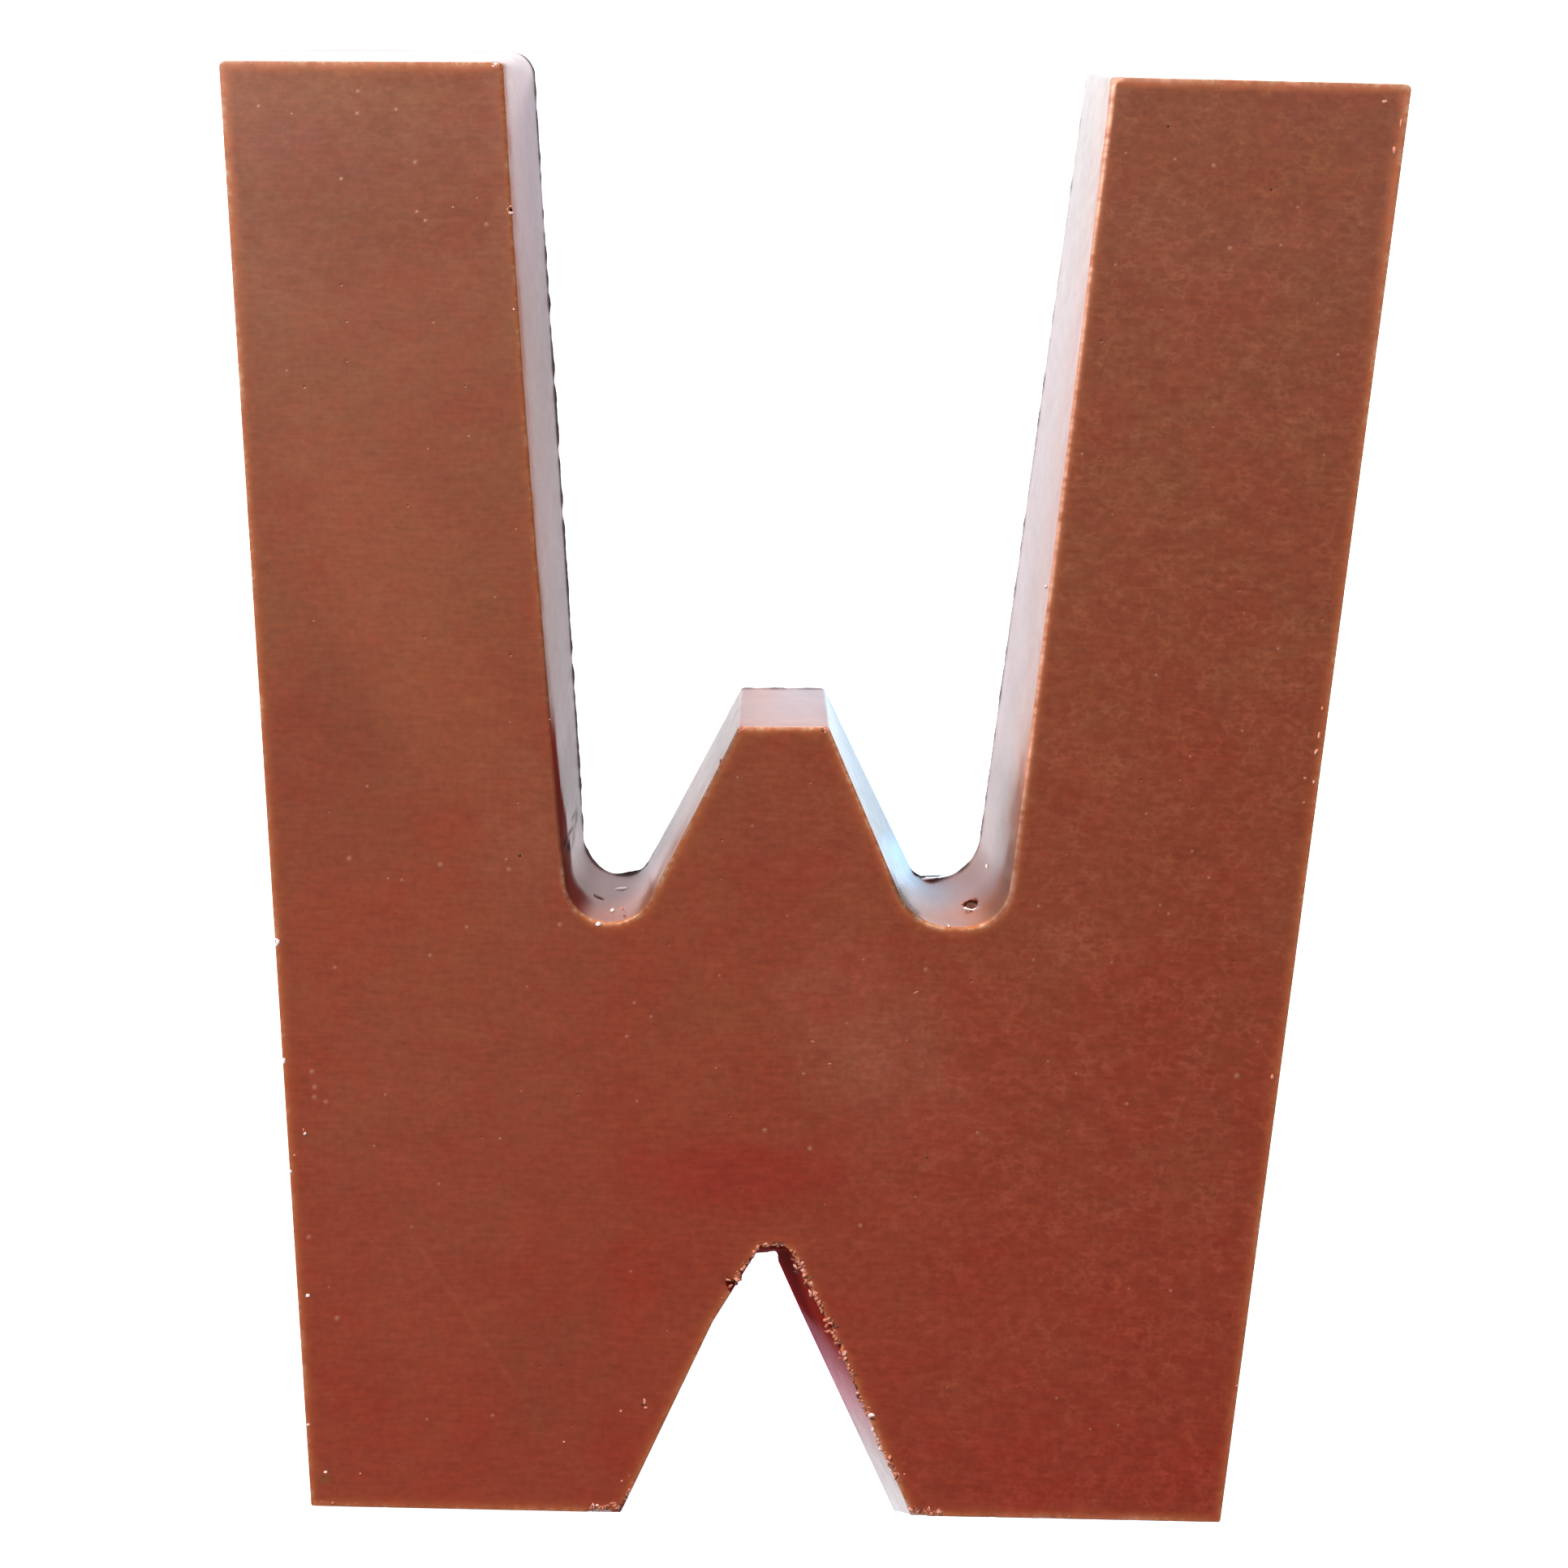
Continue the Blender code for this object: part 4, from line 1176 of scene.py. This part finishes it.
def chocolate():
    graph = Graph("milk_chocolate_scene")
    dull, shade, warm, broken, worn, rim, wall, speck = [graph.attribute(name) for name in CHANNELS]
    color, tone = face_color(graph)
    uneven = graph.noise(1.5, 2)
    crumbly = graph.noise(0.22, 4, rough=0.6)
    color = graph.mix(wall, color, graph.mix(warm, WALL_BROWN, WALL_WARM))
    # A band of painted orange glow of light through the thin edge, along the rim
    glow_band = graph.times(graph.math("POWER", rim, 1.5), graph.total((uneven, 0.9), (1.0, 0.75)))
    color = graph.mix(glow_band, color, RIM_GLOW_ORANGE)
    color = graph.mix(graph.times(broken, graph.total((crumbly, 1.2), (1.0, 0.5))), color, BROKEN_PALE)
    color = graph.mix(worn, color, edge_highlight_color(graph))
    # Pale painted highlights on the specks, then painted shade in dark red and in grey
    for amount, paint in ((speck, SPECK_PALE), (dull, SHADE_RED), (shade, SHADE_GREY)):
        color = graph.mix(amount, color, paint)
    walls = (wall, ROUGH_WALL - ROUGH_FACE)
    chips = (broken, ROUGH_BROKEN - ROUGH_FACE)
    rough = graph.total((1.0, ROUGH_FACE), walls, chips, (uneven, 0.1), (dull, 0.3))
    # The shine is cut where the wall is painted with red shade, grey shade and warm brown: a painted dimming
    # of its reflection
    clear = graph.times(graph.math("SUBTRACT", 1.0, dull), graph.math("SUBTRACT", 1.0, shade))
    less = graph.total((1.0, 1.0), (warm, -0.28), (graph.math("POWER", warm, 3.0), -0.5))
    shine = graph.times(graph.math("POWER", graph.times(clear, less), 2.0), SHINE)
    relief = graph.total((tone, 0.25), (crumbly, graph.times(broken, 0.9)), (uneven, 0.15))
    graph.fill(graph.shader, {
        "Base Color": color,
        "Roughness": rough,
        "Specular IOR Level": shine,
        "IOR": 1.5,
        "Normal": graph.bump(relief, 0.35, 0.12 * MM),
    })
    return graph.material


# Crumbs run from dark to pink to white: the white end is a painted highlight, and the dark end also serves
# as painted shadow at the right bowl's foot
CRUMB_DARK = (0.07, 0.02, 0.014)
CRUMB_PINK = (0.58, 0.195, 0.115)
CRUMB_WHITE = (0.85, 0.7, 0.69)


def crumb_material():
    graph = Graph("crumb_chocolate_scene")
    pale = graph.total((graph.attribute("pale"), 1.0), (graph.noise(0.5, 3), 0.35))
    color = graph.mix(graph.rise(pale, 0, 0.5), CRUMB_DARK, CRUMB_PINK)
    graph.fill(graph.shader, {
        "Base Color": graph.mix(graph.rise(pale, 0.5, 1), color, CRUMB_WHITE),
        "Roughness": 0.55,
        "Specular IOR Level": 0.25,
        "Normal": graph.bump(graph.noise(0.12, 1), 0.3, 0.05 * MM),
    })
    return graph.material


# The table, the camera and the light

TABLE_REACH = 3.0
TABLE_GLOW = 1.2
TABLE_GREY = (0.9, 0.9, 0.9)
TINT_LEFT = (0.85, 0.86, 0.92)
TINT_RIGHT = (1.11, 1.3, 1.42)
TINT_FOOT = (1.4, 1.62, 1.78)
TINT_SLOPE = (0.8, 1.25, 1.55)
TINT_TOP_LEFT = (1.15, 1.17, 1.26)
TINT_TOP_RIGHT = (0.89, 0.94, 0.9)

# Tinted patches of the table's painted glow in the bowls, in the notch and by the peak, with the columns of
# BLOTCHES
FLOOR_PATCHES = [
    (-18.6, -8.5, 3.2, 4.5, 0, (1.65, 1.45, 1.4)),
    (14.8, -9.0, 4.0, 3.0, 0, (1.22, 1.48, 1.72)),
    (2.0, -67.0, 8.0, 14.0, 0, (1.6, 0.88, 1.08)),
    (0.0, 13.0, 6.0, 6.5, 0, (1.5, 1.3, 1.26)),
]


def pale_table():
    """A softly glowing table, tinted from place to place for what the glossy walls mirror."""
    graph = Graph("pale_table")
    x = graph.axis("X")
    y = graph.axis("Y")
    to_right = graph.rise(x, -22, 20)
    tint = graph.mix(to_right, TINT_LEFT, TINT_RIGHT)
    from_slope = graph.math("ABSOLUTE", graph.total((x, 1.0), (y, 0.45), (1.0, -8.0)))
    in_gap = graph.rise(graph.math("ABSOLUTE", y), 16, 8)
    tint = graph.mix(graph.times(graph.rise(from_slope, 6, 2), in_gap), tint, TINT_SLOPE)
    from_foot = graph.total((x, 1.0), (y, -0.115), (1.0, -22.7))
    foot = graph.times(graph.rise(from_foot, -4.5, -0.5), graph.rise(y, -16, -12))
    tint = graph.mix(foot, tint, TINT_FOOT)
    tint = graph.tinted(graph.rise(y, 46, 70), tint, graph.mix(to_right, TINT_TOP_LEFT, TINT_TOP_RIGHT))
    for *place, patch in FLOOR_PATCHES:
        tint = graph.tinted(graph.oval(*place), tint, patch)
    graph.fill(graph.shader, {
        "Base Color": opaque(TABLE_GREY),
        "Roughness": 0.9,
        "Emission Color": tint,
        "Emission Strength": TABLE_GLOW,
    })
    return graph.material


def add_table():
    mesh = bpy.data.meshes.new("table")
    corners = [(-TABLE_REACH, -TABLE_REACH), (TABLE_REACH, -TABLE_REACH)]
    corners += [(-x, -y) for x, y in corners]
    mesh.from_pydata([(*corner, 0) for corner in corners], [], [range(4)])
    mesh.materials.append(pale_table())
    table = new_object("table", mesh)


def add_camera():
    data = bpy.data.cameras.new("camera")
    data.sensor_fit = "HORIZONTAL"
    data.sensor_width = SENSOR
    height = THICKNESS / CONVERGENCE
    data.lens = SENSOR * (height - THICKNESS) / PHOTO_SCALE / PHOTO_SIDE
    data.shift_y = -(PHOTO_MIDDLE.y - PHOTO_BELOW_CAMERA.y) / PHOTO_SIDE
    data.clip_start = 0.01
    data.clip_end = 20
    camera = new_object("camera", data)
    camera.location = (*(np.array(on_face(PHOTO_BELOW_CAMERA)) - MIDDLE), height)
    camera.rotation_euler = (0, 0, PHOTO_TURN)
    bpy.context.scene.camera = camera


def add_area(name, round_from_right, above, distance, size, power, color):
    """A round soft light, aimed at the letter, at the given angles in degrees."""
    swing = math.radians(round_from_right)
    rise = math.radians(above)
    flat = math.cos(rise)
    place = Vector((math.cos(swing) * flat, math.sin(swing) * flat, math.sin(rise))) * distance
    data = bpy.data.lights.new(name, "AREA")
    data.shape = "DISK"
    data.size = size
    data.energy = power
    data.color = color
    light = new_object(name, data)
    light.location = place
    light.rotation_euler = (-place).to_track_quat("-Z", "Y").to_euler()


# The lights: degrees round from the right and above the table, distance, size, power and colour
LIGHTS = {
    "key": (132, 34, 1.15, 0.5, 20.0, (1.0, 0.97, 0.92)),
    "fill": (58, 38, 1.2, 0.7, 6.0, (0.86, 0.94, 1.0)),
}
STUDIO_GLOW = 0.14


def add_lights():
    for name, settings in LIGHTS.items():
        add_area(name, *settings)
    world = bpy.data.worlds.new("studio")
    world.use_nodes = True
    background = world.node_tree.nodes["Background"]
    background.inputs["Color"].default_value = (1.0, 1.0, 1.0, 1.0)
    background.inputs["Strength"].default_value = STUDIO_GLOW
    bpy.context.scene.world = world
    bpy.context.scene.view_settings.view_transform = "Standard"


def add_piece(name, mesh, material):
    piece = new_object(name, mesh)
    mesh.materials.append(material)
    mesh.shade_smooth()
    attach(piece, "root")
    return piece


add_camera()
add_lights()
add_table()
letter = add_piece("letter_w", letter_mesh(), chocolate())
carve_hollows(letter)
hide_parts("chocolate_letter")
add_piece("crumbs", crumb_mesh(), crumb_material())
